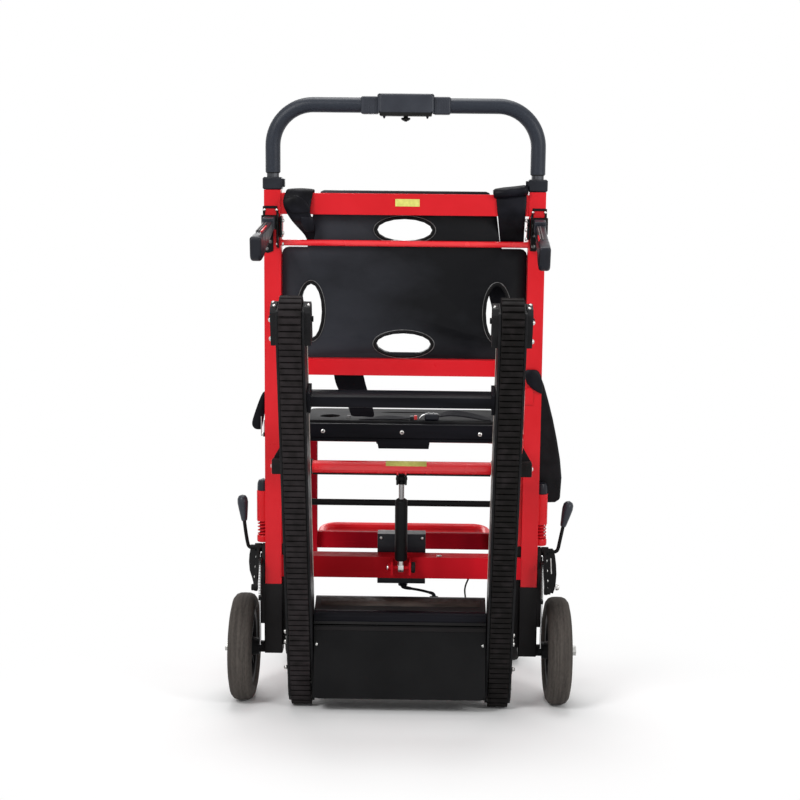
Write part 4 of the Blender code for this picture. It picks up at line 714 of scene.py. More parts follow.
def addLiftArm(name, side):
    a = liftArm
    body = "lift_arm_" + name
    pivot = leaning @ Vector((side * a["x"], *a["pivot"]))
    tilt = (Matrix.Translation(pivot) @ Matrix.Rotation(radians(a["drop"][name]), 4, "X") @
            Matrix.Rotation(radians(a["lean"][name]), 4, "Z"))
    end = -a["length"]
    outline = [(0.009, -0.004), (0.006, 0.008), (-0.002, 0.0095), (-0.06, 0.0055), (end + 0.02, 0.005),
               (end + 0.02, -0.028), (-0.088, -0.026), (-0.05, -0.018), (-0.004, -0.0105)]
    addPiece("carrying_arm_" + name, plateMesh(outline, -0.0088, 0.0088), plastic, body, ("lift_handle_" + name,),
             place=tilt, edge=0.003, segments=4, angle=30)
    outline = roundCorner((end + 0.014, -0.024), 0.013, 270, 180, 8)
    outline += roundCorner((end + 0.006, 0.0005), 0.0055, 180, 90, 5)
    outline += [(end + 0.052, 0.006), (end + 0.06, 0.0045), (end + 0.06, -0.03), (end + 0.04, -0.0355)]
    addPiece("carrying_grip_" + name, plateMesh(outline, -0.0097, 0.0097), plastic, body, place=tilt, edge=0.005,
             segments=6, angle=30)
    left, right, start, stop = a["strip"][name]
    strip = boxMesh((left, start, 0.003), (right, stop, 0.0079))
    addPiece("carrying_arm_strip_" + name, strip, red, body, place=tilt, edge=0.0006)
    worn = boxMesh((-0.0064, -0.124, 0.004), (-0.004, -0.016, 0.007))
    boxMesh((-0.0022, -0.124, 0.004), (0, -0.016, 0.007), worn)
    addPiece("carrying_arm_inlay_" + name, worn, wornGreyAndHighlight, body, place=tilt @ Matrix.Rotation(radians(-0.6), 4, "X"),
             edge=0.0005)
    root = boxMesh((-0.0104, -0.024, -0.0085), (0.0104, -0.004, 0.0128))
    addPiece("carrying_arm_root_" + name, root, boxPlastic, body, place=tilt, edge=0.0016, segments=3)
    pin = barMesh((-0.0145, 0, 0), (0.0145, 0, 0), 0.004, steps=24)
    addPiece("carrying_arm_pin_" + name, pin, zinc, body, place=tilt)


def addLiftBracket(name, side):
    # the black channel round the arm's root and the bolts of its red mounting plate
    y, h = liftArm["pivot"]
    inner = sorted((side * 0.2248, side * 0.2266))
    outline = [(-0.0158, 0.848), (-0.03, 0.848), (-0.0385, 0.864), (-0.04, 0.904), (-0.033, 0.911),
               (-0.0158, 0.911)]
    leanPiece("arm_side_plate_" + name, plateMesh(outline, *inner), black, edge=0.0006)
    top = sideBox(side, (0.2248, 0.2542), (-0.037, -0.0158), (h + 0.0122, h + 0.0142))
    sideBox(side, (0.2248, 0.2542), (-0.037, -0.0352), (h + 0.005, h + 0.0142), top)
    sideBox(side, (0.253, 0.2544), (-0.0385, -0.0158), (h - 0.015, h + 0.0142), top)
    leanPiece("arm_cap_" + name, top, black, edge=0.0007)
    back = sideBox(side, (0.2262, 0.23), (-0.0166, -0.0152), (0.85, 0.914))
    sideBox(side, (0.25, 0.254), (-0.0166, -0.0152), (h + 0.012, 0.923), back)
    sideBox(side, (0.228, 0.252), (-0.0166, -0.0152), (0.919, 0.9235), back)
    leanPiece("arm_back_plate_" + name, back, black, edge=0.0005)
    under = {"left": [(-0.2355, 0.843), (-0.2355, 0.9), (-0.2535, 0.9), (-0.255, 0.87), (-0.26, 0.856),
                      (-0.26, 0.844), (-0.245, 0.8395)],
             "right": [(0.2266, 0.848), (0.2266, 0.9), (0.241, 0.9), (0.2413, 0.856), (0.235, 0.847)]}[name]
    leanPiece("arm_under_plate_" + name, plateMesh(under, -0.0172, -0.0152, "Y"), black, edge=0.0005)
    bits = {"left": [(-0.2545, -0.0172, 0.85), (-0.247, -0.0172, 0.8475), (-0.24, -0.0172, 0.86)],
            "right": [(0.231, -0.0172, 0.856), (0.231, -0.0172, 0.876)]}[name]
    addBolts("arm_rivets_" + name, bits, (0, -1, 0), 0.0034, 0.0018, place=leaning, look=wornGreyAndHighlight)
    heights = {"left": (0.8975, 0.8755, 0.856), "right": (0.902, 0.885, 0.869)}[name]
    spots = [(side * 0.2176, -0.02 - 0.003 * i, z) for i, z in enumerate(heights)]
    addBolts("arm_bolts_" + name, spots, (-side, 0, 0), 0.0033, 0.003, place=leaning)
    heads = [(side * 0.229, -0.0166, 0.9165), (side * 0.251, -0.0166, 0.9165), (side * 0.2281, -0.0166, 0.856)]
    addBolts("arm_heads_" + name, heads, (0, -1, 0), 0.0026, 0.002, place=leaning)


addPullRod()
for name, side in sides:
    addLiftArm(name, side)
    addLiftBracket(name, side)


# Plungers with their springs and feet

plunger = {"x": 0.2596, "y": 0.028, "rod": 0.005, "foot": 0.297, "low": 0.337, "high": 0.395, "stroke": 0.012}


def addPlunger(name, side):
    p = plunger
    x, y = side * p["x"], p["y"]
    body = "plunger_rod_" + name
    mesh = barMesh((x, y, p["foot"] + 0.007), (x, y, p["high"] + 0.012), p["rod"], steps=24)
    leanPiece("plunger_pin_" + name, mesh, red, body, ("plunger_" + name,))
    core = spunMesh([(0, 0), (0, 0.0072), (0.04, 0.0072), (0.04, 0)], (x, y, p["foot"] + 0.01), 24, (0, 0, 1))
    leanPiece("plunger_core_" + name, core, paintedShadeRed, body)
    cap = spunMesh([(0, 0), (0, 0.0112), (0.002, 0.0115), (0.013, 0.011), (0.019, 0.0085), (0.0224, 0)],
                   (x, y, p["high"] + 0.0004), 40, (0, 0, 1))
    leanPiece("plunger_cap_" + name, cap, plastic, body)
    foot = spunMesh([(0, 0), (0, 0.0116), (0.0015, 0.0122), (0.0105, 0.0122), (0.0125, 0.0108), (0.0125, 0)],
                    (x, y, p["foot"]), 40, (0, 0, 1))
    leanPiece("plunger_foot_" + name, foot, red, body)


def addPlungerSpring(name, side):
    p = plunger
    wire, reach, curls, steps = 0.0013, 0.01, 4.5, 24
    start, end = p["foot"] + 0.0141, p["low"] - 0.0016
    count = round(curls * steps)
    points = []
    for i in range(count + 1):
        turn = 2 * pi * i / steps
        rise = min(max((i - 8) / (count - 16), 0), 1)
        points.append((side * p["x"] + reach * cos(turn), p["y"] + reach * sin(turn), start + (end - start) * rise))
    body = bodyOf["plunger_spring_" + name]
    line = [leaning @ Vector(point) for point in points]
    coil = taperedTube("plunger_coil_" + name, line, wire, wire, red, body, 10)
    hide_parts("plunger_spring_" + name)
    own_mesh(coil)


# Brake levers

brake = {"edge": 0.252, "z": 0.287, "reach": 0.0822, "rest": 34.9}
brakeStem = {
    "left": [(0.024, -0.0006), (0.029, -0.0007), (0.0335, 0.001), (0.0365, 0.007), (0.0402, 0.0265), (0.044, 0.054)],
    "right": [(0.024, -0.0012), (0.0336, -0.0012), (0.0385, 0.0008), (0.0412, 0.006), (0.0444, 0.0214),
              (0.0505, 0.051)],
}
brakeKnob = {"left": ((0.0433, 0.05), (0.048, 0.1)), "right": ((0.0494, 0.047), (0.0612, 0.096))}
brakeCheek = {
    "left": [(0.0157, -0.004), (0.0168, -0.016), (0.0167, -0.03), (0.014, -0.048), (0.0085, -0.063),
             (0.0056, -0.073), (0.0045, -0.082), (-0.003, -0.082), (-0.0012, -0.04), (-0.0027, -0.004)],
    "right": [(0.0171, 0.003), (0.0196, -0.01), (0.0208, -0.028), (0.0208, -0.048), (0.019, -0.064),
              (0.0165, -0.077), (0.013, -0.086), (0.006, -0.084), (0.0025, -0.066), (0.0025, -0.018),
              (0.0025, 0.002)],
}


def addBrake(name, side):
    y, z, rest = 0, brake["z"], radians(brake["rest"])
    edge, reach = brake["edge"], brake["reach"]
    body = "brake_" + name

    def at(out, rise):
        return side * (edge + out), y, z + rise

    stem = smoothLine([at(*p) for p in brakeStem[name]], 8)
    tubePiece("brake_stem_" + name, stem, 0.0034, black, body, ("brake_lever_" + name,), world, 6)
    foot, top = (Vector(at(*p)) for p in brakeKnob[name])
    knob = spunMesh([(0, 0), (0, 0.005), (0.003, 0.0058), (0.022, 0.0086), (0.034, 0.01), (0.042, 0.0094),
                     (0.047, 0.0066), (0.0495, 0)], tuple(foot), 40, top - foot)
    addPiece("brake_knob_" + name, knob, boxPlastic, body, smooth=60)
    hub = barMesh(at(0.003, 0), at(0.0315, 0), 0.0052, steps=24)
    barMesh(at(0.0094, 0), at(0.023, 0), 0.008, mesh=hub)
    addPiece("brake_hub_" + name, hub, black, body, edge=0.0008)

    def down(out, part):
        # a place on the brake arm's line, at a part of its reach
        return side * (edge + out), y - reach * part * sin(rest), z - reach * part * cos(rest)

    outline = roundCorner((0, 0), 0.008, 0, 180, 8) + [(-0.0105, -reach * 0.35), (-0.0108, -reach * 0.6)]
    outline += roundCorner((0, -reach), 0.007, 180, 360, 8) + [(0.0028, -reach * 0.75), (0.003, -reach * 0.5)]
    place = Matrix.Translation((side * (edge + 0.0156), y, z)) @ Matrix.Rotation(-rest, 4, "X")
    addPiece("brake_arm_" + name, plateMesh(outline, -0.003, 0.003), black, body, place=place, edge=0.0008)
    cheek = plateMesh([(side * a, b) for a, b in brakeCheek[name]], -0.0022, 0.0022, "Y")
    addPiece("brake_cheek_" + name, cheek, black, body, place=place, edge=0.0008)
    pad = barMesh(down(0.012, 1), down(0.024, 1), 0.006)
    addPiece("brake_pad_" + name, pad, rubber, body, edge=0.001)
    rivets = [down(0.0186, part) for part in (0.25, 0.5, 0.75)]
    addBolts("brake_rivets_" + name, rivets, (side, 0, 0), 0.0036, 0.0028, body=body)
    if name == "right":
        slot = boxMesh((0.01, -0.003, -0.048), (0.0122, -0.0018, -0.016))
        addPiece("brake_slot_right", slot, zinc, body, place=place, edge=0.0005)
        bolt = spunMesh([(0, 0), (0, 0.0052), (0.003, 0.0056), (0.006, 0.0046), (0.0075, 0)], (0.018, 0, -0.074), 24)
        addPiece("brake_bolt_right", bolt, zinc, body, place=place)
    # return spring and its rod on the foot's outer plate
    guard = sideBox(side, (0.253, 0.2638), (-0.008, 0.004), (0.156, 0.277))
    addPiece("brake_guard_" + name, guard, black, edge=0.001)
    x = side * 0.26
    reach, pitch, perTurn, turns = 0.0024, 0.003, 10, 23
    coil = [(x + reach * cos(2 * pi * i / perTurn), -0.0345 + reach * sin(2 * pi * i / perTurn),
             0.205 + pitch * i / perTurn) for i in range(turns * perTurn + 1)]
    tubePiece("brake_spring_" + name, coil, 0.0006, wornGreyAndHighlight, "chassis", (), leaning, 2)
    rod = barMesh((x, -0.0345, 0.11), (x, -0.0345, 0.205), 0.0018, steps=12)
    leanPiece("brake_rod_" + name, rod, chrome)
    clip = boxMesh((x - 0.003, -0.0365, 0.106), (x + 0.003, -0.03, 0.115))
    boxMesh((x - 0.003, -0.0365, 0.2), (x + 0.003, -0.03, 0.208), clip)
    boxMesh((x - 0.003, -0.0365, 0.268), (x + 0.003, -0.01, 0.276), clip)
    leanPiece("brake_clips_" + name, clip, black, edge=0.0006)


for name, side in sides:
    addPlunger(name, side)
    addPlungerSpring(name, side)
    addBrake(name, side)
print("plungers and brakes ready")


# Wheels

wheel = {"radius": 0.1, "x": 0.2933, "half": 0.0225, "rim": 0.07}


def mirrored(half):
    # a wheel's whole section from its left half
    return half + [(-x, radius) for x, radius in reversed(half) if x]


def addWheel(name, side):
    w = wheel
    centre = (side * w["x"], 0, w["radius"])
    body = "rear_wheel_" + name
    r, h, rim = w["radius"], w["half"], w["rim"]
    section = mirrored([(-h + 0.0055, rim), (-h + 0.001, rim + 0.006), (-h, r - 0.019), (-h + 0.0022, r - 0.009),
                        (-h + 0.007, r - 0.003), (-h + 0.0135, r - 0.0004), (0, r)])
    addPiece("tyre_tread_" + name, spunMesh(section, centre, 96), tyreGrey, body, ("tyre_" + name,), smooth=80)
    hub = mirrored([(-0.0285, 0.0056), (-0.0285, 0.015), (-0.019, 0.0165), (-0.006, 0.019), (-0.005, 0.056),
                    (-0.0155, 0.061), (-0.0168, rim - 0.0002)])
    addPiece("wheel_disc_" + name, spunMesh(hub, centre, 72), nylon, body, ("wheel_hub_" + name,), smooth=50)
    ribs = bmesh.new()
    for i in range(8):
        spoke = Matrix.Rotation(2 * pi * i / 8, 4, "X")
        rib = boxMesh((-0.0125, -0.0022, 0.016), (0.0125, 0.0022, 0.06))
        mergeMesh(ribs, rib, Matrix.Translation(centre) @ spoke)
    addPiece("wheel_ribs_" + name, ribs, nylon, body, edge=0.0008)
    nut = barMesh((side * 0.3222, 0, r), (side * 0.3295, 0, r), 0.0098, steps=6)
    barMesh((side * 0.3212, 0, r), (side * 0.3224, 0, r), 0.0125, mesh=nut)
    addPiece("axle_nut_" + name, nut, zinc, edge=0.0008)


def addCaster(name, side):
    r = 0.0625
    centre = (side * 0.232, 0.365965, r)
    body = "front_wheel_" + name
    tread = mirrored([(-0.0125, 0.045), (-0.014, 0.05), (-0.0138, r - 0.006), (-0.0105, r - 0.0016),
                      (-0.005, r - 0.0002)])
    addPiece("caster_tread_" + name, spunMesh(tread, centre, 64), rubber, body, ("caster_wheel_" + name,), smooth=60)
    core = mirrored([(-0.0158, 0.0044), (-0.0158, 0.011), (-0.007, 0.013), (-0.0065, 0.038), (-0.0122, 0.041),
                     (-0.0122, 0.0452)])
    addPiece("caster_core_" + name, spunMesh(core, centre, 48), nylon, body, smooth=50)


for name, side in sides:
    addWheel(name, side)
    addCaster(name, side)
print("wheels ready")


# Tracks

track = {"x": 0.181, "centres": 0.737, "inner": 0.0285, "root": 0.033, "tip": 0.038, "width": 0.037, "lugs": 152}


def loopSpot(s):
    # place and turn at distance s along the belt's root line, round both rollers
    run, bend = track["centres"], pi * track["root"]
    s = s % (2 * run + 2 * bend)
    r = track["root"]
    if s < run:
        return Vector((0, -r, s)), 0.0
    if s < run + bend:
        turn = (s - run) / r
        return Vector((0, -r * cos(turn), run + r * sin(turn))), turn
    if s < 2 * run + bend:
        return Vector((0, r, run - (s - run - bend))), pi
    turn = (s - 2 * run - bend) / r
    return Vector((0, r * cos(turn), -r * sin(turn))), pi + turn


def addBelt(name, side):
    t = track
    x = side * t["x"]
    half = t["width"] / 2
    band = bmesh.new()
    loops = []
    for radius in (t["root"] + 0.0004, t["inner"]):
        ring = bmesh.ops.create_circle(band, segments=64, radius=radius,
                                       matrix=Matrix.Translation((x - half, 0, 0)) @ Matrix.Rotation(pi / 2, 4, "Y"))
        upper = [v for v in ring["verts"] if v.co.z > 1e-6]
        bmesh.ops.translate(band, vec=(0, 0, t["centres"]), verts=upper)
        loops += ring["verts"]
    bmesh.ops.bridge_loops(band, edges=band.edges[:])
    grown = bmesh.ops.extrude_face_region(band, geom=band.faces[:])["geom"]
    movedOut(band, grown, (2 * half, 0, 0))
    bmesh.ops.recalc_face_normals(band, faces=band.faces)
    addPiece("belt_band_" + name, band, beltBlack, "tracks", ("belt_" + name,), place=alongTrack, smooth=30)
    lugs = bmesh.new()
    whole = 2 * t["centres"] + 2 * pi * t["root"]
    pitch = whole / t["lugs"]
    rise = t["tip"] - t["root"]
    size = Matrix.Diagonal((2 * half, rise + 0.0006, pitch * 0.8, 1))
    for i in range(t["lugs"]):
        spot, turn = loopSpot((i + 0.5) * pitch)
        out = Matrix.Translation((x, 0, 0)) @ Matrix.Translation(spot) @ Matrix.Rotation(-turn, 4, "X")
        bmesh.ops.create_cube(lugs, size=1, matrix=out @ Matrix.Translation((0, -rise / 2 + 0.0003, 0)) @ size)
    bmesh.ops.bevel(lugs, geom=lugs.edges[:], offset=0.0011, segments=2, affect="EDGES", profile=0.5, material=-1)
    addPiece("belt_lugs_" + name, lugs, beltBlack, "tracks", place=alongTrack)


def addTrackDetails(name, side):
    # tensioner bolts, side screws and a pale strip of painted reflection on the frame's inner face
    middle, far = track["x"], track["centres"]
    top, up, out = far + 0.0262, (0, 0, 1), (side, 0, 0)
    heads = {
        "tensioner_inner_cap_": ([(-0.029, -0.004, top)], up, 0.003, 0.0024),
        "tensioner_bolts_": ([(0.033, -0.003, far - 0.001), (0.033, -0.003, far - 0.035)], out, 0.0042, 0.0048),
        "tensioner_caps_": ([(0.0265, -0.008, top), (0.029, 0.006, top)], up, 0.003, 0.0024),
        "track_screws_": ([(0.0236, -0.018, 0.116), (0.0236, 0.004, 0.094), (0.0236, -0.01, 0.0385)], out, 0.0036,
                          0.0026),
    }
    for start, (spots, toward, radius, high) in heads.items():
        spots = [(side * (middle + x), y, z) for x, y, z in spots]
        addBolts(start + name, spots, toward, radius, high, body="tracks", place=alongTrack)
    # the pale strip is a painted reflection
    strip = sideBox(side, (middle - 0.0239, middle - 0.0234), (0.0185, 0.0262), (0.215, far - 0.045))
    addPiece("track_reflection_strip_" + name, strip, paintedReflection, "tracks", place=alongTrack)


def addBarEnds():
    # the push bar's black end blocks, its underside strip and the links' rivets
    y, z = -0.1, 0.45
    for name, side in sides:
        block = sideBox(side, (0.2085, 0.2342), (y - 0.0138, y + 0.0138), (z - 0.0138, z + 0.0138))
        addPiece("push_end_" + name, block, rubber, "tracks", edge=0.0026, segments=4)
        wedge = [(side * 0.209, 0.496), (side * 0.214, 0.496), (side * 0.233, 0.463), (side * 0.233, 0.456),
                 (side * 0.209, 0.456)]
        addPiece("push_wedge_" + name, plateMesh(wedge, y + 0.006, y + 0.01, "Y"), black, "tracks", edge=0.0008)
        inner = sideBox(side, (0.161, 0.169), (y - 0.013, y + 0.013), (z - 0.0132, z + 0.0132))
        addPiece("push_inner_" + name, inner, rubber, "tracks", edge=0.0012)
        addBolts("push_rivets_" + name, [(side * 0.2342, y, z)], (side, 0, 0), 0.004, 0.0028, body="tracks")
    under = boxMesh((-0.16, y - 0.0035, z - 0.0142), (0.16, y + 0.006, z - 0.0105))
    addPiece("push_bar_strip", under, rubber, "tracks", edge=0.0008)


for name, side in sides:
    addBelt(name, side)
    addTrackDetails(name, side)
addBarEnds()
print("tracks ready")


# Gas spring

def addGasSpring():
    foot, head = Vector((0, -0.06, 0.262)), Vector((0, -0.1, 0.43))
    along = (head - foot).normalized()
    length = (head - foot).length

    def at(distance):
        return foot + along * distance

    tube = spunMesh([(0, 0.0056), (0, 0.0108), (0.0012, 0.0115), (0.113, 0.0115), (0.116, 0.01), (0.118, 0.0072),
                     (0.118, 0.0056)], at(0.016), 48, along)
    addPiece("gas_tube", tube, black, "gas_body", ("gas_cylinder",), smooth=50)
    def across(distance, half, radius, steps=32, mesh=None):
        reach = Vector((half, 0, 0))
        return barMesh(at(distance) - reach, at(distance) + reach, radius, steps=steps, mesh=mesh)

    eye = across(0, 0.0052, 0.008)
    barMesh(at(0.004), at(0.02), 0.006, steps=24, mesh=eye)
    addPiece("gas_eye", eye, zinc, "gas_body", edge=0.0008)
    rod = barMesh(at(0.05), at(length - 0.004), 0.005)
    addPiece("gas_stem_rod", rod, rodChrome, "gas_stem", ("gas_rod",))
    top = across(length, 0.0052, 0.0058)
    barMesh(at(length - 0.0095), at(length - 0.003), 0.0068, 0.0066, 24, top)
    across(length, 0.0104, 0.003, 16, top)
    addPiece("gas_top_eye", top, black, "gas_stem", edge=0.0006)
    boot = bmesh.new()
    for side in (-1, 1):
        sideBox(side, (0.0054, 0.0096), (-0.1115, -0.089), (0.4192, 0.4375), boot)
    addPiece("gas_lug_caps", boot, rubber, "tracks", edge=0.001)
    pin = barMesh((-0.0225, *foot[1:]), (0.0225, *foot[1:]), 0.003, steps=16)
    mergeMesh(pin, spunMesh([(0, 0), (0, 0.0048), (0.002, 0.0044), (0.0036, 0)], (-0.0235, *foot[1:]), 24, (-1, 0, 0)))
    addPiece("gas_pin", pin, zinc)
    knob = spunMesh([(0, 0), (0, 0.0092), (0.0012, 0.01), (0.0062, 0.01), (0.0074, 0.0088), (0.0074, 0)],
                    (0.019, foot.y, foot.z + 0.0005), 32)
    addPiece("gas_pin_knob", knob, rubber)


addGasSpring()


# Foot loop

def addFootLoop():
    half, reach, bend = 0.1775, 0.075, 0.03
    y, z = 0.419165, 0.247477
    flat = [(-half, 0)] + roundCorner((-half + bend, reach - bend), bend, 180, 90, 14)
    flat += roundCorner((half - bend, reach - bend), bend, 90, 0, 14) + [(half, 0)]
    points = [(a, y + b, z + b * 0.014 / reach) for a, b in flat]
    tubePiece("foot_loop_tube", points, 0.0105, red, "foot_rest", ("foot_loop",), world, 8)
    pins = bmesh.new()
    for side in (-1, 1):
        barMesh((side * half, y, z), (side * (half + 0.018), y, z), 0.004, steps=24, mesh=pins)
    addPiece("foot_loop_pins", pins, zinc, "foot_rest")


addFootLoop()
print("gas spring and foot loop ready")


# Straps

def addStrapAnchor(name, x, y, z, half):
    # a steel strip across the strap's end, with its two screws into the board
    face = y + 0.0014
    leanPiece(name, boxMesh((x - half, y, z - 0.005), (x + half, face, z + 0.005)), black, edge=0.0006)
    spots = [(x - half * 0.6, face, z), (x + half * 0.6, face, z)]
    addBolts(name + "_screws", spots, (0, 1, 0), 0.003, 0.0014, place=leaning)


def addShoulderStraps():
    # both hang over the top crossbar; the left one is folded, the right one rolled at the top
    left = [((-0.213, 0.0103, 0.916), (-0.165, 0.0103, 0.916)), ((-0.213, 0.0103, 0.94), (-0.163, 0.0103, 0.94)),
            ((-0.2125, 0.0085, 0.9505), (-0.162, 0.0085, 0.9508)),
            ((-0.212, -0.004, 0.9535), (-0.1615, -0.004, 0.9535)),
            ((-0.213, -0.017, 0.9495), (-0.163, -0.0165, 0.95)),
            ((-0.2175, -0.0225, 0.937), (-0.165, -0.0215, 0.937)),
            ((-0.2178, -0.0245, 0.925), (-0.1672, -0.0235, 0.925)),
            ((-0.211, -0.023, 0.911), (-0.169, -0.025, 0.911)), ((-0.203, -0.018, 0.898), (-0.163, -0.022, 0.9)),
            ((-0.1945, -0.004, 0.887), (-0.1605, -0.006, 0.889)), ((-0.186, 0.006, 0.8775), (-0.161, 0.005, 0.8785)),
            ((-0.179, 0.008, 0.869), (-0.1625, 0.008, 0.868)), ((-0.176, 0.0085, 0.859), (-0.164, 0.0085, 0.858))]
    ribbonPiece("shoulder_strap_left_web", left, creased, 0.003, -0.002, replaced=("shoulder_strap_left",))
    fold = [((-0.217, -0.025, 0.938), (-0.19, -0.027, 0.943)), ((-0.2175, -0.0285, 0.929), (-0.176, -0.03, 0.933)),
            ((-0.212, -0.029, 0.919), (-0.168, -0.029, 0.923)), ((-0.202, -0.0285, 0.911), (-0.166, -0.028, 0.912))]
    ribbonPiece("shoulder_strap_left_fold", fold, creased, 0.0034, -0.003)
    tail = [((-0.186, -0.025, 0.906), (-0.1625, -0.023, 0.906)), ((-0.186, -0.025, 0.896), (-0.1612, -0.022, 0.896)),
            ((-0.182, -0.021, 0.887), (-0.1608, -0.019, 0.887)), ((-0.179, -0.016, 0.879), (-0.1612, -0.015, 0.879))]
    ribbonPiece("shoulder_strap_left_tail", tail, creased, 0.0028, -0.003)
    right = [((0.164, 0.0103, 0.916), (0.217, 0.0103, 0.916)), ((0.163, 0.0103, 0.94), (0.217, 0.0103, 0.94)),
             ((0.162, 0.0085, 0.9505), (0.217, 0.0085, 0.9505)), ((0.162, -0.004, 0.9525), (0.217, -0.004, 0.9525)),
             ((0.162, -0.016, 0.948), (0.218, -0.016, 0.948)), ((0.1632, -0.0178, 0.93), (0.2175, -0.0178, 0.93)),
             ((0.1655, -0.018, 0.912), (0.216, -0.018, 0.912)), ((0.168, -0.006, 0.893), (0.216, -0.006, 0.893)),
             ((0.17, 0.0055, 0.88), (0.216, 0.0055, 0.88)), ((0.1715, 0.008, 0.867), (0.216, 0.008, 0.867)),
             ((0.1725, 0.0085, 0.855), (0.216, 0.0085, 0.855))]
    ribbonPiece("shoulder_strap_right_web", right, creased, 0.0034, replaced=("shoulder_strap_right",))
    roll = spunMesh([(-0.0305, 0), (-0.031, 0.0085), (-0.027, 0.0118), (-0.012, 0.0128), (0.008, 0.0124),
                     (0.025, 0.0127), (0.03, 0.0105), (0.0312, 0.007), (0.0306, 0)], (0, 0, 0), 32)
    bend = (Matrix.Translation((0.1885, -0.0135, 0.952)) @ Matrix.Rotation(radians(-7), 4, "Y") @
            Matrix.Diagonal((1, 1.15, 0.78, 1)))
    pad = addPiece("shoulder_pad_right", roll, creased, place=leaning @ bend, smooth=180)
    hidden = [((0.152, 0.0246, 0.808), (0.19, 0.0246, 0.808)), ((0.152, 0.0245, 0.783), (0.19, 0.0245, 0.783)),
              ((0.1545, 0.0244, 0.759), (0.1905, 0.0244, 0.759)), ((0.1635, 0.0243, 0.738), (0.191, 0.0243, 0.738)),
              ((0.165, 0.024, 0.674), (0.1915, 0.024, 0.674))]
    ribbonPiece("front_strap_right", hidden, webbing)
    addStrapAnchor("front_strap_anchor", 0.171, 0.0254, 0.798, 0.016)


def addSideStrap():
    hang = leaning @ Matrix.Translation((0.252, 0.0178, 0.62)) @ Matrix.Rotation(radians(7), 4, "X")
    outline = [(0.006, -0.246), (0.014, -0.25), (0.036, -0.249), (0.045, -0.243), (0.0465, -0.2), (0.0425, -0.165),
               (0.035, -0.125), (0.026, -0.085), (0.0165, -0.05), (0.008, -0.022), (0, -0.002), (-0.0275, 0),
               (-0.0265, -0.03), (-0.024, -0.07), (-0.018, -0.12), (-0.012, -0.17), (0, -0.22)]
    wing = addPiece("waist_strap_wing", plateMesh(outline, 0, 0.012, "Y"), padCloth, "chassis", ("side_strap",),
                    place=hang, smooth=180, edge=0.0045, segments=4)
    patch = [((0.222, -0.0172, 0.634), (0.244, -0.0172, 0.634)), ((0.221, -0.02, 0.624), (0.251, -0.0185, 0.623)),
             ((0.2225, -0.018, 0.613), (0.2535, -0.021, 0.61)), ((0.226, -0.0195, 0.606), (0.254, -0.0185, 0.6)),
             ((0.237, -0.0172, 0.598), (0.2535, -0.018, 0.588))]
    ribbonPiece("waist_strap_root", patch, creased, 0.0024, -0.003)
    outline = [(0.222, 0.569), (0.237, 0.569)] + roundCorner((0.2295, 0.593), 0.0075, 0, 180, 10)
    leanPiece("waist_strap_lug", plateMesh(outline, -0.0178, -0.0152, "Y"), red, edge=0.0006)
    # the loose end and its buckle on the left upright
    left = [((-0.256, 0.004, 0.585), (-0.2522, 0.004, 0.587)), ((-0.2664, 0.002, 0.5612), (-0.2526, 0.004, 0.568)),
            ((-0.2722, 0, 0.545), (-0.253, 0.003, 0.548)), ((-0.2765, 0, 0.532), (-0.256, 0.003, 0.534)),
            ((-0.278, 0.001, 0.5225), (-0.2585, 0.002, 0.519)), ((-0.271, 0.003, 0.516), (-0.261, 0.003, 0.5146))]
    ribbonPiece("waist_strap_left_end", left, creased, 0.006, -0.003)
    loop = boxMesh((-0.2605, 0, 0.503), (-0.2535, 0.004, 0.508))
    boxMesh((-0.2605, 0, 0.508), (-0.2585, 0.004, 0.54), loop)
    boxMesh((-0.2553, 0, 0.508), (-0.2535, 0.004, 0.533), loop)
    addPiece("waist_strap_clasp", loop, zinc, place=leaning @ Matrix.Translation((0, -0.0045, 0)), edge=0.0008)
    tie = boxMesh((-0.256, -0.006, 0.502), (-0.2515, 0.006, 0.51))
    leanPiece("waist_strap_anchor", tie, black, edge=0.0008)


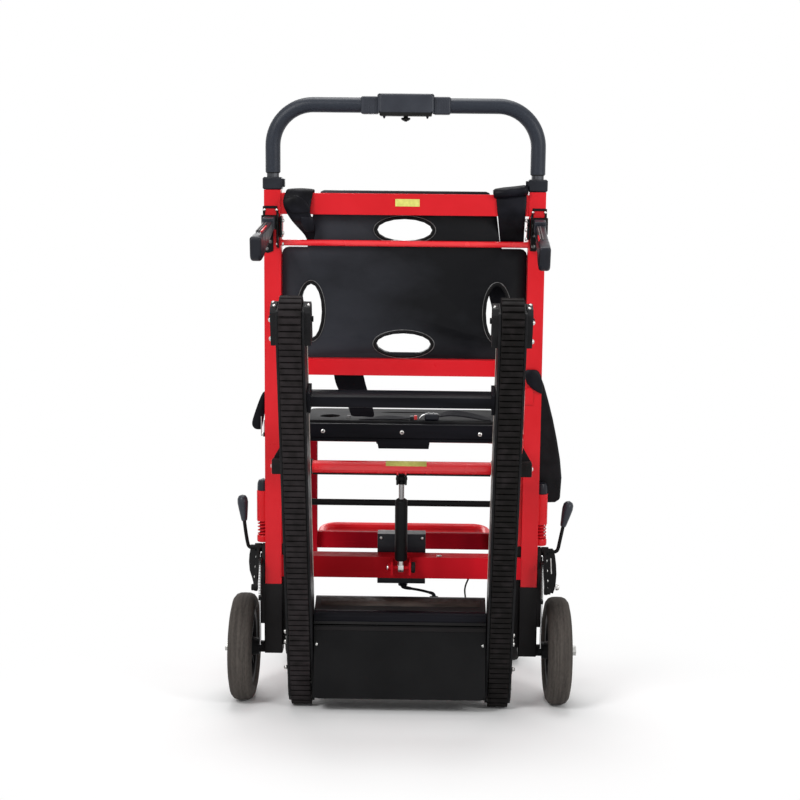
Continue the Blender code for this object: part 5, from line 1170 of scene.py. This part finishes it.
def addLapBelt():
    # the belt's two halves, the tongue and the buckle on the seat board
    z = 0.529
    leftHalf = [((-0.085, 0.004, z), (-0.085, 0.04, z + 0.0005)),
                ((-0.06, 0.003, z + 0.0004), (-0.06, 0.039, z + 0.003)),
                ((-0.035, 0.002, z + 0.0006), (-0.035, 0.038, z + 0.007)),
                ((-0.012, 0.003, z + 0.001), (-0.012, 0.038, z + 0.006)),
                ((0.006, 0.006, z + 0.0022), (0.006, 0.036, z + 0.0034)),
                ((0.018, 0.01, z + 0.003), (0.018, 0.033, z + 0.003))]
    ribbonPiece("lap_belt_left_half", leftHalf, webbing, body="seat", place=world, replaced=("lap_belt",))
    rightHalf = [((0.062, 0.004, z + 0.006), (0.062, 0.036, z + 0.0065)),
                 ((0.074, 0.003, z + 0.008), (0.074, 0.036, z + 0.014)),
                 ((0.09, 0.002, z + 0.0095), (0.09, 0.036, z + 0.0185)),
                 ((0.112, 0.001, z + 0.008), (0.112, 0.037, z + 0.0165)),
                 ((0.134, 0.001, z + 0.0045), (0.134, 0.038, z + 0.012)),
                 ((0.152, 0.002, z + 0.0015), (0.152, 0.04, z + 0.007)),
                 ((0.166, 0.003, z + 0.0005), (0.166, 0.041, z + 0.003))]
    ribbonPiece("lap_belt_right_half", rightHalf, webbing, body="seat", place=world)
    shell = boxMesh((0.04, 0, z - 0.0003), (0.067, 0.042, z + 0.0125))
    addPiece("buckle_shell", shell, plastic, "seat", edge=0.0042, segments=4)
    rib = boxMesh((0.047, 0.003, z + 0.0115), (0.049, 0.039, z + 0.0138))
    boxMesh((0.056, 0.003, z + 0.0115), (0.058, 0.039, z + 0.0138), rib)
    addPiece("buckle_ribs", rib, plastic, "seat", edge=0.0006)
    bent = smoothLine([(0, 0.0305, z + 0.0018), (0, 0.034, z + 0.007), (0, 0.0385, z + 0.0098),
                       (0, 0.042, z + 0.009)], 4)
    tongue = [((point.y, 0.009, point.z), (point.y, 0.033, point.z)) for point in bent]
    ribbonPiece("buckle_tongue", tongue, chrome, 0.0016, body="seat", place=world)
    tip = boxMesh((0.013, 0.01, z + 0.0004), (0.0198, 0.032, z + 0.0072))
    addPiece("buckle_tip", tip, plastic, "seat", edge=0.0014, segments=3)
    button = boxMesh((0.0205, 0.0105, z + 0.0004), (0.0262, 0.0315, z + 0.0082))
    addPiece("buckle_red_button", button, buttonRed, "belt_button", ("buckle_button",), edge=0.0012, segments=3)


def addHangingStrap():
    # a strap from the front of the back board down to the seat's rear edge, with its metal slider
    stations = [((-0.133, 0.024, 0.7), (-0.085, 0.024, 0.7)), ((-0.132, 0.024, 0.65), (-0.079, 0.024, 0.65)),
                ((-0.1295, 0.025, 0.618), (-0.0735, 0.025, 0.615)),
                ((-0.1262, 0.0272, 0.596), (-0.067, 0.0272, 0.59)), ((-0.113, 0.031, 0.572), (-0.06, 0.031, 0.568)),
                ((-0.1, 0.0345, 0.55), (-0.0545, 0.0345, 0.548)), ((-0.098, 0.037, 0.534), (-0.051, 0.037, 0.533))]
    web = ribbonPiece("seat_strap_web", stations, webbing, 0.0024, 0.002)
    slider = boxMesh((-0.104, 0.034, 0.531), (-0.0975, 0.0375, 0.537))
    slider = leanPiece("seat_strap_slider", slider, wornGreyAndHighlight, edge=0.0008)
    for soft in (web, slider):
        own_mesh(soft)
    addStrapAnchor("seat_strap_anchor", -0.109, 0.0252, 0.69, 0.02)


addShoulderStraps()
addSideStrap()
addLapBelt()
addHangingStrap()
print("straps ready")


# Labels, screws and small plates

def addLabels():
    plate = boxMesh((-0.017, -0.0147, 0.9247), (0.0265, -0.0139, 0.9378))
    leanPiece("crossbar_label", plate, label, edge=0.0003)
    wrap = bmesh.new()
    bmesh.ops.create_circle(wrap, segments=64, radius=0.0118,
                            matrix=Matrix.Translation((-0.0285, -0.1, 0.45)) @ Matrix.Rotation(pi / 2, 4, "Y"))
    hidden = [v for v in wrap.verts if v.co.y > -0.101 or v.co.z < 0.4525 or v.co.z > 0.4635]
    bmesh.ops.delete(wrap, geom=hidden, context="VERTS")
    grown = bmesh.ops.extrude_edge_only(wrap, edges=wrap.edges[:])["geom"]
    movedOut(wrap, grown, (0.073, 0, 0))
    thicken(addPiece("push_bar_label", wrap, label, "tracks", smooth=80), 0.0004)


def addLidSheet():
    # the sunk sheet on the lid's rear slope
    low, high = Vector((0, -0.076, 0.1932)), Vector((0, -0.053, 0.2038))
    out = Vector((0, -0.42, 0.907)).normalized() * 0.0004
    mesh = bmesh.new()
    corners = [(-0.146, low), (0.146, low), (0.146, high), (-0.146, high)]
    mesh.faces.new([mesh.verts.new(Vector((x, p.y, p.z)) + out) for x, p in corners])
    thicken(addPiece("lid_sheet", mesh, lidBrown), 0.0008, -1)
    # the lid's rolled lower edge and the lip under it
    outline = [(-0.088, 0.188), (-0.093, 0.1872), (-0.0985, 0.185), (-0.1025, 0.1812), (-0.1042, 0.1765),
               (-0.1036, 0.1715), (-0.1013, 0.169), (-0.096, 0.17), (-0.09, 0.18)]
    addPiece("lid_roll", plateMesh(outline, -0.156, 0.156), rail, smooth=60, edge=0.0008)
    lip = boxMesh((-0.1562, -0.103, 0.1525), (0.1562, -0.1005, 0.16))
    addPiece("cover_lip", lip, sleeveBlack, edge=0.001, segments=3)


def addScrews():
    coverSpots = [(-0.1512, -0.1012, 0.1268), (0.1509, -0.1012, 0.1277)]
    addBolts("cover_screws", coverSpots, (0, -1, 0), 0.0026, 0.0014)
    railSpots = [(x, -0.0252, z) for x, z in ((-0.1791, 0.5095), (-0.1476, 0.5089), (-0.0013, 0.508),
                                              (0.1431, 0.506), (0.1708, 0.507))]
    addBolts("rail_screws", railSpots, (0, -1, 0), 0.0038, 0.0018, body="seat")
    guideSpots = ((-0.2169, 0.1353), (-0.2163, 0.1166), (-0.2152, 0.0687), (0.2128, 0.1341), (0.213, 0.1173),
                  (0.213, 0.0705))
    addBolts("guide_bolts", [(x * 0.985, -0.034, z) for x, z in guideSpots], (0, -1, 0), 0.004, 0.003)
    slots = bmesh.new()
    for x, y, z in railSpots[1:4]:
        mergeMesh(slots, barMesh((x, y - 0.0012, z), (x, y - 0.0021, z), 0.0017, steps=6))
    addPiece("rail_screw_sockets", slots, rubber, "seat")
    unitSpots = [(-0.0385, 0.0172, 0.3085), (0.0385, 0.0172, 0.3085)]
    addBolts("unit_screws", unitSpots, (0, -1, 0), 0.0026, 0.0012, place=leaning)
    addBolts("crossbar_bolt", [(0.0708, -0.008, 0.2812)], (0, 0, 1), 0.005, 0.002, place=leaning)


def addHoleRims():
    # a raised lip round each oval hole of the back board, and a painted highlight ring along its outer edge
    rear, steps = 0.0065 - 0.0012, 64
    holes = ((0, 0.882, 0.0495, 0.0195), (0, 0.675, 0.0495, 0.0195), (-0.169, 0.7335, 0.0195, 0.0495),
             (0.169, 0.7335, 0.0195, 0.0495))
    for i, (x, h, wide, high) in enumerate(holes):
        # the edge ring is a painted highlight on the lip's outer slope
        for ending, grow, deep, look in (("lip", 0.003, 0.0026, black), ("edge", 0.0064, 0.0009, wornGreyAndHighlight)):
            turns = [2 * pi * k / steps for k in range(steps)]
            line = [(x + (wide + grow) * cos(turn), rear, h + (high + grow) * sin(turn)) for turn in turns]
            tubePiece("hole_%s_%d" % (ending, i), line, deep, look, "chassis", (), leaning, 4, True)
    lower = boxMesh((-0.212, 0.0068, 0.63), (0.212, 0.0084, 0.66))
    leanPiece("board_lower_lip", lower, board, edge=0.0005)


def addInnerPlates():
    # flat bars on the inner faces of the uprights and their feet, the rail's lower lip and tab
    for name, side in sides:
        foot = sideBox(side, (0.2112, 0.2224), (-0.006, 0.012), (0.11, 0.3))
        leanPiece("foot_guard_" + name, foot, sleeveBlack, edge=0.001)
        bar = sideBox(side, (0.2112, 0.2224), (-0.004, 0.01), (0.3005, 0.47))
        leanPiece("upright_guard_" + name, bar, red, edge=0.001)
    lip = boxMesh((-0.1985, -0.0228, 0.49), (0.1985, -0.0064, 0.4965))
    addPiece("rail_lip", lip, rail, "seat", edge=0.0008)
    outline = [(-0.048, 0.496), (-0.0448, 0.4775), (0.0484, 0.4775), (0.051, 0.496)]
    addPiece("rail_tab", plateMesh(outline, -0.0236, -0.015, "Y"), rail, "seat", edge=0.001)


addLabels()
addInnerPlates()
addLidSheet()
addScrews()
addHoleRims()
print("labels, screws and lid ready")
